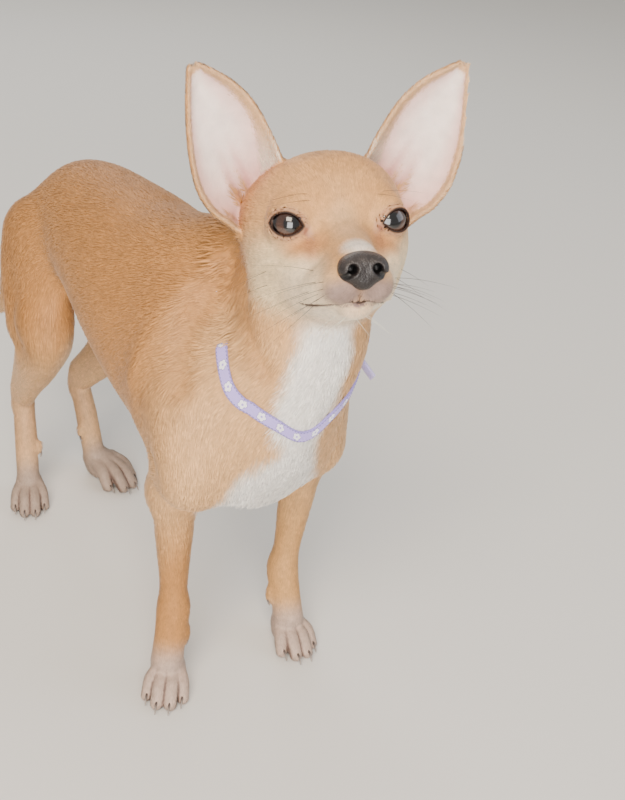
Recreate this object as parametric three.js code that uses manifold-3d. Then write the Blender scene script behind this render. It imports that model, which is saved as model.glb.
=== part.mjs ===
// A life-size standing chihuahua with a narrow collar.
// Millimetres, +Z up. The dog faces -Y and its left side is +X; its soles lie on z = 0.
// The body is one smooth shape made of rounded lumps laid along the skeleton. The shape is turned
// into a closed surface, thinned to a few thousand triangles, and parted into head, neck, trunk,
// tail and leg pieces by thin straight cuts. Ears, eyes, nose, claws and collar are pieces of their own.

import * as THREE from "three";
import { mergeVertices } from "three/addons/utils/BufferGeometryUtils.js";
import Module from "manifold-3d";

const wasm = await Module();
wasm.setup();

// Driving sizes

const GAP = 0.3; // between neighbouring pieces
const CELL = 2.0; // of the grid on which the body's surface is found
const BODY_TRIANGLES = 3350;
const LEFT = 1;
const RIGHT = -1;
const SIDES = [LEFT, RIGHT];

// The head's own frame has its origin midway between the eyes: x to the dog's left, y back, z up.
const HEAD = { origin: [7.3, -116.9, 246.8], yaw: -24.1, pitch: 21, roll: -2.8 };

// Trunk sections from chest to rump: place along the body, height of the middle, half width, half height
const TRUNK = [
  { y: -92, middle: 142, width: 30, height: 34 },
  { y: -80, middle: 145, width: 36, height: 42 },
  { y: -64, middle: 152, width: 39.5, height: 50 },
  { y: -45, middle: 155, width: 41, height: 53 },
  { y: -15, middle: 162, width: 41.5, height: 50 },
  { y: 15, middle: 170.5, width: 39.5, height: 44.5 },
  { y: 45, middle: 178.5, width: 35, height: 36.5 },
  { y: 72, middle: 180.5, width: 30.5, height: 33.5 },
  { y: 92, middle: 176, width: 27.5, height: 32 },
  { y: 108, middle: 167, width: 23, height: 27 },
  { y: 120, middle: 161, width: 16, height: 19 },
  { y: 127, middle: 158, width: 8, height: 8 },
];

// Joints of the legs; yaw is how far the paw turns out, size is the paw's
const FORELEG = {
  [RIGHT]: { elbow: [-31.5, -68, 107], wrist: [-31, -71, 43], ankle: [-35, -74, 15], paw: [-36, -77, 0], yaw: -38,
    size: 0.93 },
  [LEFT]: { elbow: [42.5, -66, 105], wrist: [34, -69, 41], ankle: [35, -76, 15], paw: [35, -78, 0], yaw: -8, size: 0.93 },
};
const HINDLEG = {
  [RIGHT]: {
    hip: [-20, 94, 176], stifle: [-28, 70, 116], hock: [-22, 117, 59], ankle: [-25, 107, 15], paw: [-26, 103, 0],
    yaw: -24, size: 0.9,
  },
  [LEFT]: {
    hip: [20, 94, 176], stifle: [28, 72, 112], hock: [18.5, 126, 56], ankle: [20, 111, 15], paw: [24.5, 105, 0],
    yaw: 14, size: 1.04,
  },
};
const TAIL_START = 132; // how far back the tail leaves the rump
const FORE_PAW_LENGTH = 1; // how long a paw is for its size
const HIND_PAW_LENGTH = 1.25;

// Toes of a paw of size 1: sideways place, root, tip and radius
const TOES = [
  { x: -7.6, root: 1, tip: -10, radius: 3.7 },
  { x: -2.8, root: -1, tip: -15.5, radius: 3.9 },
  { x: 2.8, root: -1, tip: -15.5, radius: 3.9 },
  { x: 7.6, root: 1, tip: -10, radius: 3.7 },
];

const TOE_SPREAD = 1.2; // how much wider the toes stand at their tips

// Eyes, in the head's frame, for the left side
const EYE = { centre: [19.2, 3.6, 0], radius: 8.3, outward: 22.8, slant: 9, width: 12.8, opening: 8.2 };

// Ears, in the head's frame, for the left side: the inner and the outer edge from root to tip
const EAR = {
  inner: [[13, 25, 17], [18.4, 21.7, 26.5], [22.5, 19, 34.5], [29.3, 14, 45.5], [37.3, 10.2, 53], [46, 7, 57.5],
    [50.5, 5.6, 59.3]],
  outer: [[29, 30, -8], [38, 26.2, 0], [45.2, 22.8, 5.2], [51.2, 18.8, 14], [54.3, 14, 27], [55.2, 10, 41],
    [54.9, 5.4, 57.8]],
  thickness: 1.9,
  hollow: 13,
};

const NOSE = { centre: [0, -29.6, -17], half: [9.4, 5.6, 6.8], nostril: [4.3, -35.4, -17.2], nostrilRadius: 1.9 };

// Collar: a flat band in a leaning plane round the foot of the neck, sagging a little in front;
// angles run round the neck from the dog's left, with the front at -90
const COLLAR = {
  centre: [4, -86, 183.6],
  normal: [-0.08, -0.71, 0.7],
  width: 6.2,
  thickness: 1.3,
  stand: 1.1,
  steps: 48,
  sag: 5,
  sagAt: -93,
  sagSpread: 15,
  buckleAt: -12,
  tabAt: -31,
};
const BUCKLE = { length: 11, width: 8.6, thickness: 3.2, corner: 1.4 };
const TAB = { length: 9, width: 5.6, thickness: 1.2, lift: 38 };

// Small helpers

const radians = (degrees) => (degrees * Math.PI) / 180;
const vector = (p) => new THREE.Vector3(...p);
const shifted = (p, dx, dy, dz) => [p[0] + dx, p[1] + dy, p[2] + dz];
const between = (a, b, t) => a.map((value, i) => value + (b[i] - value) * t);

// A place to build in: turned and moved axes
function frameOf(origin, ...turns) {
  const matrix = new THREE.Matrix4();
  for (const [axis, degrees] of turns) {
    const turn = new THREE.Matrix4().makeRotationAxis(vector(axis), radians(degrees));
    matrix.multiply(turn);
  }
  return new THREE.Matrix4().makeTranslation(...origin).multiply(matrix);
}

const AXIS_X = [1, 0, 0];
const AXIS_Y = [0, 1, 0];
const AXIS_Z = [0, 0, 1];
const WORLD = new THREE.Matrix4();
const headFrame = frameOf(HEAD.origin, [AXIS_Z, HEAD.yaw], [AXIS_X, -HEAD.pitch], [AXIS_Y, HEAD.roll]);
const onHead = (x, y, z) => new THREE.Vector3(x, y, z).applyMatrix4(headFrame).toArray();

// Lumps. Each one knows how far a point lies outside it, and how softly it runs into the others.

const lumps = [];

function addLump(frame, blend, points, reach, distance) {
  const box = new THREE.Box3().setFromPoints(points.map((p) => vector(p).applyMatrix4(frame)));
  box.expandByScalar(reach + blend + CELL);
  const inverse = frame.clone().invert().elements;
  lumps.push({ box, blend, inverse, distance });
}

// An egg shape with three half sizes, turned about its own x and y axes
function addBall(centre, radii, blend, { frame = WORLD, leanX = 0, leanY = 0 } = {}) {
  const place = frame.clone().multiply(frameOf(centre, [AXIS_X, leanX], [AXIS_Y, leanY]));
  const [rx, ry, rz] = radii;
  addLump(place, blend, [[0, 0, 0]], Math.max(...radii), (x, y, z) => {
    const scaled = Math.hypot(x / rx, y / ry, z / rz);
    const slope = Math.hypot(x / (rx * rx), y / (ry * ry), z / (rz * rz));
    return (scaled * (scaled - 1)) / Math.max(slope, 1e-6);
  });
}

// A round limb along a smooth path; every station is [x, y, z, radius]
function addLimb(stations, blend, { frame = WORLD, squash = 1, finer = 7 } = {}) {
  const path = new THREE.CatmullRomCurve3(stations.map((s) => vector(s.slice(0, 3))), false, "catmullrom", 0.5);
  const girth = new THREE.CatmullRomCurve3(stations.map((s) => vector([s[3], 0, 0])), false, "catmullrom", 0.5);
  const count = (stations.length - 1) * finer;
  const bones = [];
  for (let i = 0; i < count; i++) {
    const start = path.getPoint(i / count);
    const along = path.getPoint((i + 1) / count).sub(start);
    const radius = girth.getPoint(i / count).x;
    const growth = girth.getPoint((i + 1) / count).x - radius;
    bones.push({ start, along, radius, growth, square: along.lengthSq() });
  }
  const widest = Math.max(...stations.map((s) => s[3])) + 1;
  addLump(frame, blend, stations.map((s) => s.slice(0, 3)), widest, (x, y, z) => {
    let nearest = Infinity;
    for (const { start, along, radius, growth, square } of bones) {
      const dx = x - start.x;
      const dy = y - start.y;
      const dz = z - start.z;
      const t = Math.min(1, Math.max(0, (dx * along.x + dy * along.y + dz * along.z) / square));
      const across = Math.hypot((dx - t * along.x) / squash, dy - t * along.y, dz - t * along.z);
      nearest = Math.min(nearest, across - radius - growth * t);
    }
    return nearest;
  });
}

// Smooth value between stations: a cubic whose slope at a station is that of its two neighbours
function interpolate(stations, key, y) {
  const last = stations.length - 1;
  let i = 0;
  while (i < last - 1 && y > stations[i + 1].y) i++;
  const slopeAt = (j) => {
    const before = stations[Math.max(j - 1, 0)];
    const after = stations[Math.min(j + 1, last)];
    return (after[key] - before[key]) / (after.y - before.y);
  };
  const a = stations[i];
  const b = stations[i + 1];
  const length = b.y - a.y;
  const t = THREE.MathUtils.clamp((y - a.y) / length, 0, 1);
  const rise = t * t * (3 - 2 * t);
  const bend = t * (1 - t) * (1 - t) * length * slopeAt(i) - t * t * (1 - t) * length * slopeAt(i + 1);
  return a[key] + (b[key] - a[key]) * rise + bend;
}

// The barrel of the trunk: oval sections set one behind another
function addTrunk(stations, blend) {
  const first = stations[0].y;
  const last = stations[stations.length - 1].y;
  const corners = [];
  for (const s of stations) {
    corners.push([s.width, s.y, s.middle + s.height], [-s.width, s.y, s.middle - s.height]);
  }
  const cache = new Map();
  addLump(WORLD, blend, corners, 0, (x, y, z) => {
    const inside = THREE.MathUtils.clamp(y, first, last);
    if (!cache.has(inside)) {
      cache.set(inside, ["middle", "width", "height"].map((key) => interpolate(stations, key, inside)));
    }
    const [middle, width, height] = cache.get(inside);
    const up = z - middle;
    const scaled = Math.hypot(x / width, up / height);
    const slope = Math.hypot(x / (width * width), up / (height * height));
    const across = Math.max((scaled * (scaled - 1)) / Math.max(slope, 1e-6), -Math.min(width, height));
    const beyond = y - inside;
    return beyond === 0 ? across : Math.hypot(Math.max(across, 0), beyond);
  });
}

// The dog's lumps

function addPaw(foot, stretch) {
  const { size } = foot;
  const length = size * stretch;
  const frame = frameOf(foot.paw, [AXIS_Z, foot.yaw]);
  const scaled = (x, y, z, ...rest) => [x * size, y * length, z * size, ...rest.map((value) => value * size)];
  addBall(scaled(0, 3, 9.5), scaled(8.8, 9.5, 7.6), 4, { frame });
  for (const { x, root, tip, radius } of TOES) {
    const stations = [
      scaled(x * 0.75, root, 12, radius * 0.95),
      scaled(x * 1.05, (root + tip) / 2 - 1, 9.4, radius * 1.02),
      scaled(x * TOE_SPREAD, tip, 3.3, radius * 0.93),
    ];
    addLimb(stations, 1.1, { frame });
  }
  addBall(scaled(0, 2, 5), scaled(8.2, 8.5, 6), 3, { frame });
}

function addForeleg(side) {
  const leg = FORELEG[side];
  const { elbow, wrist, ankle, yaw } = leg;
  addBall([side * 28, -55, 160], [13, 22, 40], 12, { leanX: -20, leanY: side * -8 });
  const shoulder = [
    [side * 30.5, -78, 152, 17],
    [side * 31.5, -84, 126, 16],
    [...shifted(elbow, -side, -5, 12), 14],
    [...shifted(elbow, 0, 1, 0), 11],
  ];
  addLimb(shoulder, 12);
  const forearm = [
    [...elbow, 11.3],
    [...between(elbow, wrist, 0.22), 10.3],
    [...between(elbow, wrist, 0.5), 8.7],
    [...between(elbow, wrist, 0.8), 7.2],
    [...wrist, 8.5],
    [...between(wrist, ankle, 0.5), 7.9],
    [...ankle, 8.2],
  ];
  addLimb(forearm, 9, { squash: 0.95 });
  addBall(shifted(elbow, 0, 7, 1), [5.6, 5.6, 5.6], 9);
  addPaw(leg, FORE_PAW_LENGTH);
  const turned = frameOf(wrist, [AXIS_Z, yaw]);
  addBall([0, 7, -4], [3.8, 3.8, 3.8], 4, { frame: turned });
  addBall([-side * 7.8, -1, -14], [2.3, 2.6, 4.4], 3, { frame: turned });
}

function addHindleg(side) {
  const leg = HINDLEG[side];
  const { hip, stifle, hock, ankle, yaw } = leg;
  addBall(shifted(between(hip, stifle, 0.5), side, 5, 2), [13, 24, 41], 16, { leanX: -24 });
  const hamstring = [
    [...shifted(hip, 0, 12, -8), 11.5],
    [...shifted(hip, side * 3, 12, -28), 12.5],
    [...shifted(hip, side * 5, 4, -50), 13.5],
    [...shifted(stifle, side, 18, -8), 9.5],
    [...shifted(hock, 0, 0, 12), 5.5],
  ];
  addLimb(hamstring, 12);
  const shank = [
    [...shifted(stifle, 0, 4, 14), 15],
    [...shifted(stifle, 0, 1, 2), 13],
    [...between(stifle, hock, 0.3), 10.8],
    [...between(stifle, hock, 0.62), 7.8],
    [...between(stifle, hock, 0.85), 6.2],
    [...hock, 6.6],
    [...between(hock, ankle, 0.4), 6.9],
    [...between(hock, ankle, 0.7), 6.9],
    [...ankle, 6.8],
  ];
  addLimb(shank, 8, { squash: 0.95 });
  const tendon = [
    [...shifted(between(stifle, hock, 0.25), 0, 16, 16), 9],
    [...shifted(between(stifle, hock, 0.62), 0, 9, 8), 5],
    [...shifted(hock, 0, 5, 4), 4.2],
    [...shifted(hock, 0, 5, -2), 4],
  ];
  addLimb(tendon, 8);
  addPaw(leg, HIND_PAW_LENGTH);
  const turned = frameOf(between(hock, ankle, 0.6), [AXIS_Z, yaw]);
  addBall([-side * 7, -1, 0], [2.4, 2.8, 4.6], 2.5, { frame: turned });
}

function addNeckAndTail() {
  addLimb([
    [...onHead(0, 30, -6), 25],
    [15, -92, 206, 28],
    [11.5, -91, 182, 30],
    [4, -76, 158, 33],
    [0, -58, 150, 34],
  ], 18);
  addLimb([
    [...onHead(0, 42, -4), 20],
    [10, -62, 212, 20],
    [4, -44, 203, 22],
    [0, -16, 192, 21],
  ], 16);
  addLimb([
    [0, 112, 176, 11],
    [-4, 130, 170, 8.8],
    [-9, 145, 151, 7.4],
    [-11, 155, 126, 6.2],
    [-10, 165, 104, 5],
    [-8, 178, 90, 3.4],
  ], 7);
}

function addHead() {
  const frame = headFrame;
  addBall([0, 30, 2], [34, 31, 25.5], 8, { frame });
  addBall([0, 15, 10], [25, 17, 17.5], 8, { frame });
  for (const side of [RIGHT, LEFT]) {
    addBall([side * 20.5, 21, -10.5], [11.5, 19, 14.5], 9, { frame });
    addBall([side * 14, 5, 6], [10, 8, 8], 6, { frame });
    addBall([side * 13.5, 3, -15.5], [10.5, 12.5, 10.5], 7, { frame });
    addLimb([
      [side * 11, 4, -24, 10.3],
      [side * 9.5, -10, -23.5, 8.8],
      [side * 6.5, -22, -22.5, 7.2],
    ], 4, { frame });
    const lid = EYE.radius + GAP + 1;
    addBall([side * EYE.centre[0], EYE.centre[1], EYE.centre[2]], [lid, lid, lid], 3, { frame });
  }
  addLimb([[0, 6, -8, 14], [0, -8, -12, 10.5], [0, -24, -15.5, 8.2]], 6, { frame });
  addLimb([[0, 14, -27, 12.5], [0, -2, -29.5, 8.4], [0, -18.5, -30.8, 5.2]], 3, { frame, squash: 1.3 });
  addBall([0, 24, -24], [28, 21, 16], 9, { frame });
}

addTrunk(TRUNK, 10);
addBall([4, -77, 142], [37, 33, 40], 14);
for (const side of [RIGHT, LEFT]) addHindleg(side);
for (const side of [RIGHT, LEFT]) addForeleg(side);
addNeckAndTail();
addHead();

// The shape as one field: negative inside, positive outside, with every lump blended into the rest

const FAR = 60;

function blended(a, b, softness) {
  const overlap = Math.max(softness - Math.abs(a - b), 0);
  return Math.min(a, b) - (overlap * overlap) / (4 * softness);
}

function lumpDistance(lump, x, y, z) {
  const m = lump.inverse;
  return lump.distance(
    m[0] * x + m[4] * y + m[8] * z + m[12],
    m[1] * x + m[5] * y + m[9] * z + m[13],
    m[2] * x + m[6] * y + m[10] * z + m[14],
  );
}

function fieldAt(point) {
  let value = FAR;
  for (const lump of lumps) {
    if (lump.box.containsPoint(point)) {
      value = blended(value, lumpDistance(lump, point.x, point.y, point.z), lump.blend);
    }
  }
  return value;
}

// The field sampled on a grid over the box
function sampleField(box, cell) {
  const size = box.getSize(new THREE.Vector3());
  const counts = size.toArray().map((length) => Math.ceil(length / cell) + 1);
  const [nx, ny, nz] = counts;
  const values = new Float32Array(nx * ny * nz).fill(FAR);
  const index = (i, j, k) => (i * ny + j) * nz + k;
  const origin = box.min.toArray();
  for (const lump of lumps) {
    const low = lump.box.min.toArray().map((v, a) => Math.max(0, Math.floor((v - origin[a]) / cell)));
    const high = lump.box.max.toArray().map((v, a) => Math.min(counts[a] - 1, Math.ceil((v - origin[a]) / cell)));
    for (let i = low[0]; i <= high[0]; i++) {
      for (let j = low[1]; j <= high[1]; j++) {
        for (let k = low[2]; k <= high[2]; k++) {
          const at = index(i, j, k);
          const distance = lumpDistance(lump, origin[0] + i * cell, origin[1] + j * cell, origin[2] + k * cell);
          values[at] = blended(values[at], distance, lump.blend);
        }
      }
    }
  }
  return { values, counts, index, origin, cell };
}

// Where two inside corners of a grid square meet only across its diagonal, the two sheets of the surface
// would touch along a line; one of the outside corners is filled, so that they run together
function fillDiagonals(grid) {
  const { values, counts, index } = grid;
  const [nx, ny, nz] = counts;
  const steps = [index(1, 0, 0), index(0, 1, 0), index(0, 0, 1)];
  let filled = true;
  for (let round = 0; filled && round < 8; round++) {
    filled = false;
    for (let i = 1; i < nx - 1; i++) {
      for (let j = 1; j < ny - 1; j++) {
        for (let k = 1; k < nz - 1; k++) {
          for (let axis = 0; axis < 3; axis++) {
            const at = index(i, j, k);
            const square = [at, at + steps[axis], at + steps[(axis + 1) % 3]];
            square.push(square[1] + square[2] - at);
            const [a, b, c, d] = square.map((n) => values[n] < 0);
            if (a !== d || b !== c || a === b) continue;
            values[a ? square[1] : at] = -0.05 * grid.cell;
            filled = true;
          }
        }
      }
    }
  }
  return grid;
}

// Surface nets: one vertex in each cell that the surface crosses, one quad across each crossed edge
function surfaceOf({ values, counts, index, origin, cell }) {
  const [nx, ny, nz] = counts;
  const vertexOfCell = new Int32Array(nx * ny * nz).fill(-1);
  const points = [];
  const triangles = [];
  const corners = [];
  for (let c = 0; c < 8; c++) corners.push([c & 1, (c >> 1) & 1, (c >> 2) & 1]);
  const edges = [];
  for (let a = 0; a < 8; a++) {
    for (const bit of [1, 2, 4]) {
      if (!(a & bit)) edges.push([a, a | bit]);
    }
  }
  const corner = new Float64Array(8);
  for (let i = 0; i < nx - 1; i++) {
    for (let j = 0; j < ny - 1; j++) {
      for (let k = 0; k < nz - 1; k++) {
        let inside = 0;
        corners.forEach(([a, b, c], n) => {
          corner[n] = values[index(i + a, j + b, k + c)];
          if (corner[n] < 0) inside++;
        });
        if (inside === 0 || inside === 8) continue;
        const sum = [0, 0, 0];
        let crossings = 0;
        for (const [a, b] of edges) {
          if (corner[a] < 0 === corner[b] < 0) continue;
          const t = corner[a] / (corner[a] - corner[b]);
          for (let axis = 0; axis < 3; axis++) {
            sum[axis] += corners[a][axis] + t * (corners[b][axis] - corners[a][axis]);
          }
          crossings++;
        }
        vertexOfCell[index(i, j, k)] = points.length;
        points.push([i, j, k].map((n, axis) => origin[axis] + cell * (n + sum[axis] / crossings)));
      }
    }
  }
  const steps = [index(1, 0, 0), index(0, 1, 0), index(0, 0, 1)];
  for (let i = 1; i < nx - 1; i++) {
    for (let j = 1; j < ny - 1; j++) {
      for (let k = 1; k < nz - 1; k++) {
        const at = index(i, j, k);
        for (let axis = 0; axis < 3; axis++) {
          const inside = values[at] < 0;
          if (inside === values[at + steps[axis]] < 0) continue;
          const u = steps[(axis + 1) % 3];
          const v = steps[(axis + 2) % 3];
          const quad = [at - u - v, at - v, at, at - u].map((n) => vertexOfCell[n]);
          if (!inside) quad.reverse();
          triangles.push([quad[0], quad[1], quad[2]], [quad[0], quad[2], quad[3]]);
        }
      }
    }
  }
  return { points, triangles };
}

// Thinning: the edge whose loss changes the surface least is folded into one point, again and again.
// A vertex remembers the planes of its faces as ten sums (a quadric), weighted by how fine it must stay.

function planeQuadric(a, b, c, weight) {
  const normal = new THREE.Vector3().crossVectors(b.clone().sub(a), c.clone().sub(a));
  const area = normal.length() / 2;
  normal.normalize();
  const n = [normal.x, normal.y, normal.z, -normal.dot(a)];
  const sums = [];
  for (let i = 0; i < 4; i++) {
    for (let j = i; j < 4; j++) sums.push(n[i] * n[j] * area * weight);
  }
  return sums;
}

function quadricError(q, p) {
  const { x, y, z } = p;
  const squares = q[0] * x * x + q[4] * y * y + q[7] * z * z + q[9];
  return squares + 2 * (q[1] * x * y + q[2] * x * z + q[5] * y * z + q[3] * x + q[6] * y + q[8] * z);
}

function bestPoint(q, a, b) {
  const matrix = new THREE.Matrix3().set(q[0], q[1], q[2], q[1], q[4], q[5], q[2], q[5], q[7]);
  const middle = a.clone().add(b).multiplyScalar(0.5);
  const scale = (q[0] + q[4] + q[7]) / 3;
  if (Math.abs(matrix.determinant()) < 1e-4 * scale ** 3) return middle;
  const solved = new THREE.Vector3(-q[3], -q[6], -q[8]).applyMatrix3(matrix.invert());
  return solved.distanceTo(middle) < 2 * a.distanceTo(b) ? solved : middle;
}

class CheapestFirst {
  constructor() {
    this.items = [];
  }

  push(item) {
    const { items } = this;
    let i = items.push(item) - 1;
    while (i > 0) {
      const parent = (i - 1) >> 1;
      if (items[parent].cost <= items[i].cost) break;
      [items[parent], items[i]] = [items[i], items[parent]];
      i = parent;
    }
  }

  pop() {
    const { items } = this;
    const top = items[0];
    const last = items.pop();
    if (items.length > 0) {
      items[0] = last;
      let i = 0;
      while (2 * i + 1 < items.length) {
        let child = 2 * i + 1;
        if (child + 1 < items.length && items[child + 1].cost < items[child].cost) child++;
        if (items[i].cost <= items[child].cost) break;
        [items[child], items[i]] = [items[i], items[child]];
        i = child;
      }
    }
    return top;
  }
}

function thinned({ points, triangles }, wanted, fineness) {
  const places = points.map(vector);
  const faces = triangles.map((t) => [...t]);
  const facesOf = places.map(() => new Set());
  const quadrics = places.map(() => new Float64Array(10));
  const version = new Int32Array(places.length);
  faces.forEach((face, f) => {
    const [a, b, c] = face.map((v) => places[v]);
    const sums = planeQuadric(a, b, c, fineness(a));
    for (const v of face) {
      facesOf[v].add(f);
      sums.forEach((value, i) => (quadrics[v][i] += value));
    }
  });
  const neighbours = (v) => {
    const found = new Set();
    for (const f of facesOf[v]) faces[f].forEach((n) => found.add(n));
    found.delete(v);
    return found;
  };
  const queue = new CheapestFirst();
  const propose = (a, b) => {
    const q = quadrics[a].map((value, i) => value + quadrics[b][i]);
    const place = bestPoint(q, places[a], places[b]);
    const length = places[a].distanceTo(places[b]);
    const cost = Math.max(quadricError(q, place), 0) + 1e-5 * length;
    queue.push({ a, b, place, cost, stamp: version[a] + version[b] });
  };
  for (let v = 0; v < places.length; v++) {
    for (const n of neighbours(v)) if (v < n) propose(v, n);
  }
  const turnsOver = (v, other, place) => {
    for (const f of facesOf[v]) {
      if (faces[f].includes(other)) continue;
      const before = faces[f].map((n) => places[n]);
      const after = faces[f].map((n) => (n === v ? place : places[n]));
      const normals = [before, after].map(([a, b, c]) => (
        new THREE.Vector3().crossVectors(b.clone().sub(a), c.clone().sub(a)).normalize()
      ));
      if (normals[0].dot(normals[1]) < 0.35) return true;
    }
    return false;
  };
  let left = faces.length;
  while (left > wanted && queue.items.length > 0) {
    const { a, b, place, stamp } = queue.pop();
    if (facesOf[a].size === 0 || facesOf[b].size === 0 || version[a] + version[b] !== stamp) continue;
    const around = neighbours(a);
    const shared = [...neighbours(b)].filter((n) => around.has(n));
    if (!around.has(b) || shared.length !== 2) continue;
    if (turnsOver(a, b, place) || turnsOver(b, a, place)) continue;
    places[a] = place;
    quadrics[b].forEach((value, i) => (quadrics[a][i] += value));
    for (const f of facesOf[b]) {
      if (faces[f].includes(a)) {
        faces[f].forEach((n) => facesOf[n].delete(f));
        faces[f] = null;
        left--;
      } else {
        faces[f] = faces[f].map((n) => (n === b ? a : n));
        facesOf[a].add(f);
      }
    }
    facesOf[b].clear();
    version[a] += places.length;
    for (const n of neighbours(a)) propose(a, n);
  }
  return geometryOf(places, faces.filter(Boolean));
}

// Geometry and solids

function geometryOf(places, faces) {
  const number = new Map();
  const position = [];
  const indices = [];
  for (const face of faces) {
    for (const v of face) {
      if (!number.has(v)) {
        number.set(v, number.size);
        position.push(...places[v].toArray());
      }
      indices.push(number.get(v));
    }
  }
  const geometry = new THREE.BufferGeometry();
  geometry.setAttribute("position", new THREE.Float32BufferAttribute(position, 3));
  geometry.setIndex(indices);
  return geometry;
}

function solidOf(geometry) {
  const bare = geometry.clone();
  bare.deleteAttribute("normal");
  bare.deleteAttribute("uv");
  const merged = mergeVertices(bare, 1e-3);
  const mesh = new wasm.Mesh({
    numProp: 3,
    vertProperties: new Float32Array(merged.attributes.position.array),
    triVerts: new Uint32Array(merged.index.array),
  });
  return new wasm.Manifold(mesh);
}

// Corners closer than this are one corner, so that no sliver is left where two cuts run together
const SLIVER = 0.02;

function geometryFrom(solid) {
  const mesh = solid.getMesh();
  const raw = new THREE.BufferGeometry();
  raw.setAttribute("position", new THREE.Float32BufferAttribute(mesh.vertProperties, 3));
  raw.setIndex(Array.from(mesh.triVerts));
  const merged = mergeVertices(raw, SLIVER);
  const corners = merged.index.array;
  const kept = new Map();
  for (let i = 0; i < corners.length; i += 3) {
    const face = [corners[i], corners[i + 1], corners[i + 2]];
    if (new Set(face).size < 3) continue;
    const key = [...face].sort((a, b) => a - b).join();
    if (kept.has(key)) kept.delete(key);
    else kept.set(key, face);
  }
  merged.setIndex([...kept.values()].flat());
  return merged;
}

// The same solid with every vertex moved out along its normal
function grown(solid, distance) {
  const geometry = geometryFrom(solid);
  geometry.computeVertexNormals();
  const { position, normal } = geometry.attributes;
  for (let i = 0; i < position.count; i++) {
    position.setXYZ(
      i,
      position.getX(i) + distance * normal.getX(i),
      position.getY(i) + distance * normal.getY(i),
      position.getZ(i) + distance * normal.getZ(i),
    );
  }
  return solidOf(geometry);
}

// A block given by its lowest and highest corner in a frame
function block(low, high, frame = WORLD, extra = 0) {
  const size = high.map((value, i) => value - low[i] + 2 * extra);
  const middle = high.map((value, i) => (value + low[i]) / 2);
  const geometry = new THREE.BoxGeometry(...size).translate(...middle).applyMatrix4(frame);
  return solidOf(geometry);
}

// The whole body

const bodyBox = new THREE.Box3(new THREE.Vector3(-62, -162, -4), new THREE.Vector3(58, 194, 286));
const headBall = new THREE.Sphere(vector(onHead(0, 12, -4)), 48);
const eyeBalls = SIDES.map((side) => {
  const [x, y, z] = EYE.centre;
  return new THREE.Sphere(vector(onHead(side * x, y, z)), EYE.radius + 4);
});

// How much finer the surface stays here than on the trunk
function fineness(place) {
  if (eyeBalls.some((ball) => ball.containsPoint(place))) return 30;
  if (headBall.containsPoint(place)) return 9;
  if (place.y > TAIL_START) return 0.6;
  if (place.z < 28) return 5;
  return place.z < 95 ? 1.5 : 1;
}

const bodyGrid = fillDiagonals(sampleField(bodyBox, CELL));
let rest = solidOf(thinned(surfaceOf(bodyGrid), BODY_TRIANGLES, fineness));
rest = rest.subtract(block([-80, -180, -20], [80, 210, 0]));

// Cuts the piece inside the block off the rest, leaving a thin gap
function partOff(low, high, frame = WORLD) {
  const piece = rest.intersect(block(low, high, frame));
  rest = rest.subtract(block(low, high, frame, GAP));
  return piece;
}

const solids = {};

// The head's cut leans from the nape down behind the jaw
const headCut = headFrame.clone().multiply(frameOf([0, 52, 10], [AXIS_X, -34.8]));
let head = partOff([-60, -110, -84], [60, 0, 50], headCut);

// The neck's cut lies under the collar
const collarNormal = vector(COLLAR.normal).normalize();
const collarTurn = new THREE.Quaternion().setFromUnitVectors(new THREE.Vector3(0, 0, 1), collarNormal);
const collarFrame = new THREE.Matrix4().compose(vector(COLLAR.centre), collarTurn, new THREE.Vector3(1, 1, 1));
solids.neck = partOff([-64, -60, 0], [64, 60, 70], collarFrame);

const tailCut = frameOf([0, TAIL_START, 160], [AXIS_X, -12]);
solids.tail = partOff([-18.5, 4, -80], [10, 90, 30], tailCut);

const sideName = { [LEFT]: "left", [RIGHT]: "right" };

for (const side of SIDES) {
  const name = sideName[side];
  const inner = side * 2;
  const outer = side * 60;
  const low = Math.min(inner, outer);
  const high = Math.max(inner, outer);
  solids[`forepaw_${name}`] = partOff([low, -130, -5], [high, -40, 24]);
  solids[`forearm_${name}`] = partOff([low, -130, 24 + GAP], [high, -40, 98]);
  solids[`hindpaw_${name}`] = partOff([low, 60, -5], [high, 140, 20]);
  solids[`hock_${name}`] = partOff([low, 60, 20 + GAP], [high, 150, 68]);
  solids[`thigh_${name}`] = partOff([low, 48, 68 + GAP], [high, 138, 132]);
}
solids.trunk = rest;

// Eyes and their sockets

function eyeFrame(side) {
  const [x, y, z] = EYE.centre;
  const place = frameOf([side * x, y, z], [AXIS_Z, side * EYE.outward], [AXIS_Y, -side * EYE.slant]);
  return headFrame.clone().multiply(place);
}

// An almond outline of two equal arcs, pushed out of the face along the gaze
function lidOpening(frame) {
  const half = EYE.width / 2;
  const rise = EYE.opening / 2;
  const radius = (half * half + rise * rise) / (2 * rise);
  const swing = Math.asin(half / radius);
  const outline = new THREE.Shape();
  outline.absarc(0, rise - radius, radius, Math.PI / 2 + swing, Math.PI / 2 - swing, true);
  outline.absarc(0, radius - rise, radius, -Math.PI / 2 + swing, -Math.PI / 2 - swing, true);
  const geometry = new THREE.ExtrudeGeometry(outline, { depth: 14, bevelEnabled: false, curveSegments: 9 });
  geometry.rotateX(Math.PI / 2).applyMatrix4(frame);
  return solidOf(geometry);
}

function ball(radius, centre, across = 14, down = 10) {
  return new THREE.SphereGeometry(radius, across, down).rotateX(Math.PI / 2).translate(...centre);
}

const plainHead = head;
for (const side of SIDES) {
  const frame = eyeFrame(side);
  solids[`eye_${sideName[side]}`] = solidOf(ball(EYE.radius, [0, 0, 0]).applyMatrix4(frame));
  const socket = solidOf(ball(EYE.radius + GAP + 0.1, [0, 0, 0]).applyMatrix4(frame));
  head = head.subtract(socket).subtract(lidOpening(frame));
}
solids.head = head;
const headRoom = grown(plainHead, GAP);

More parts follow.
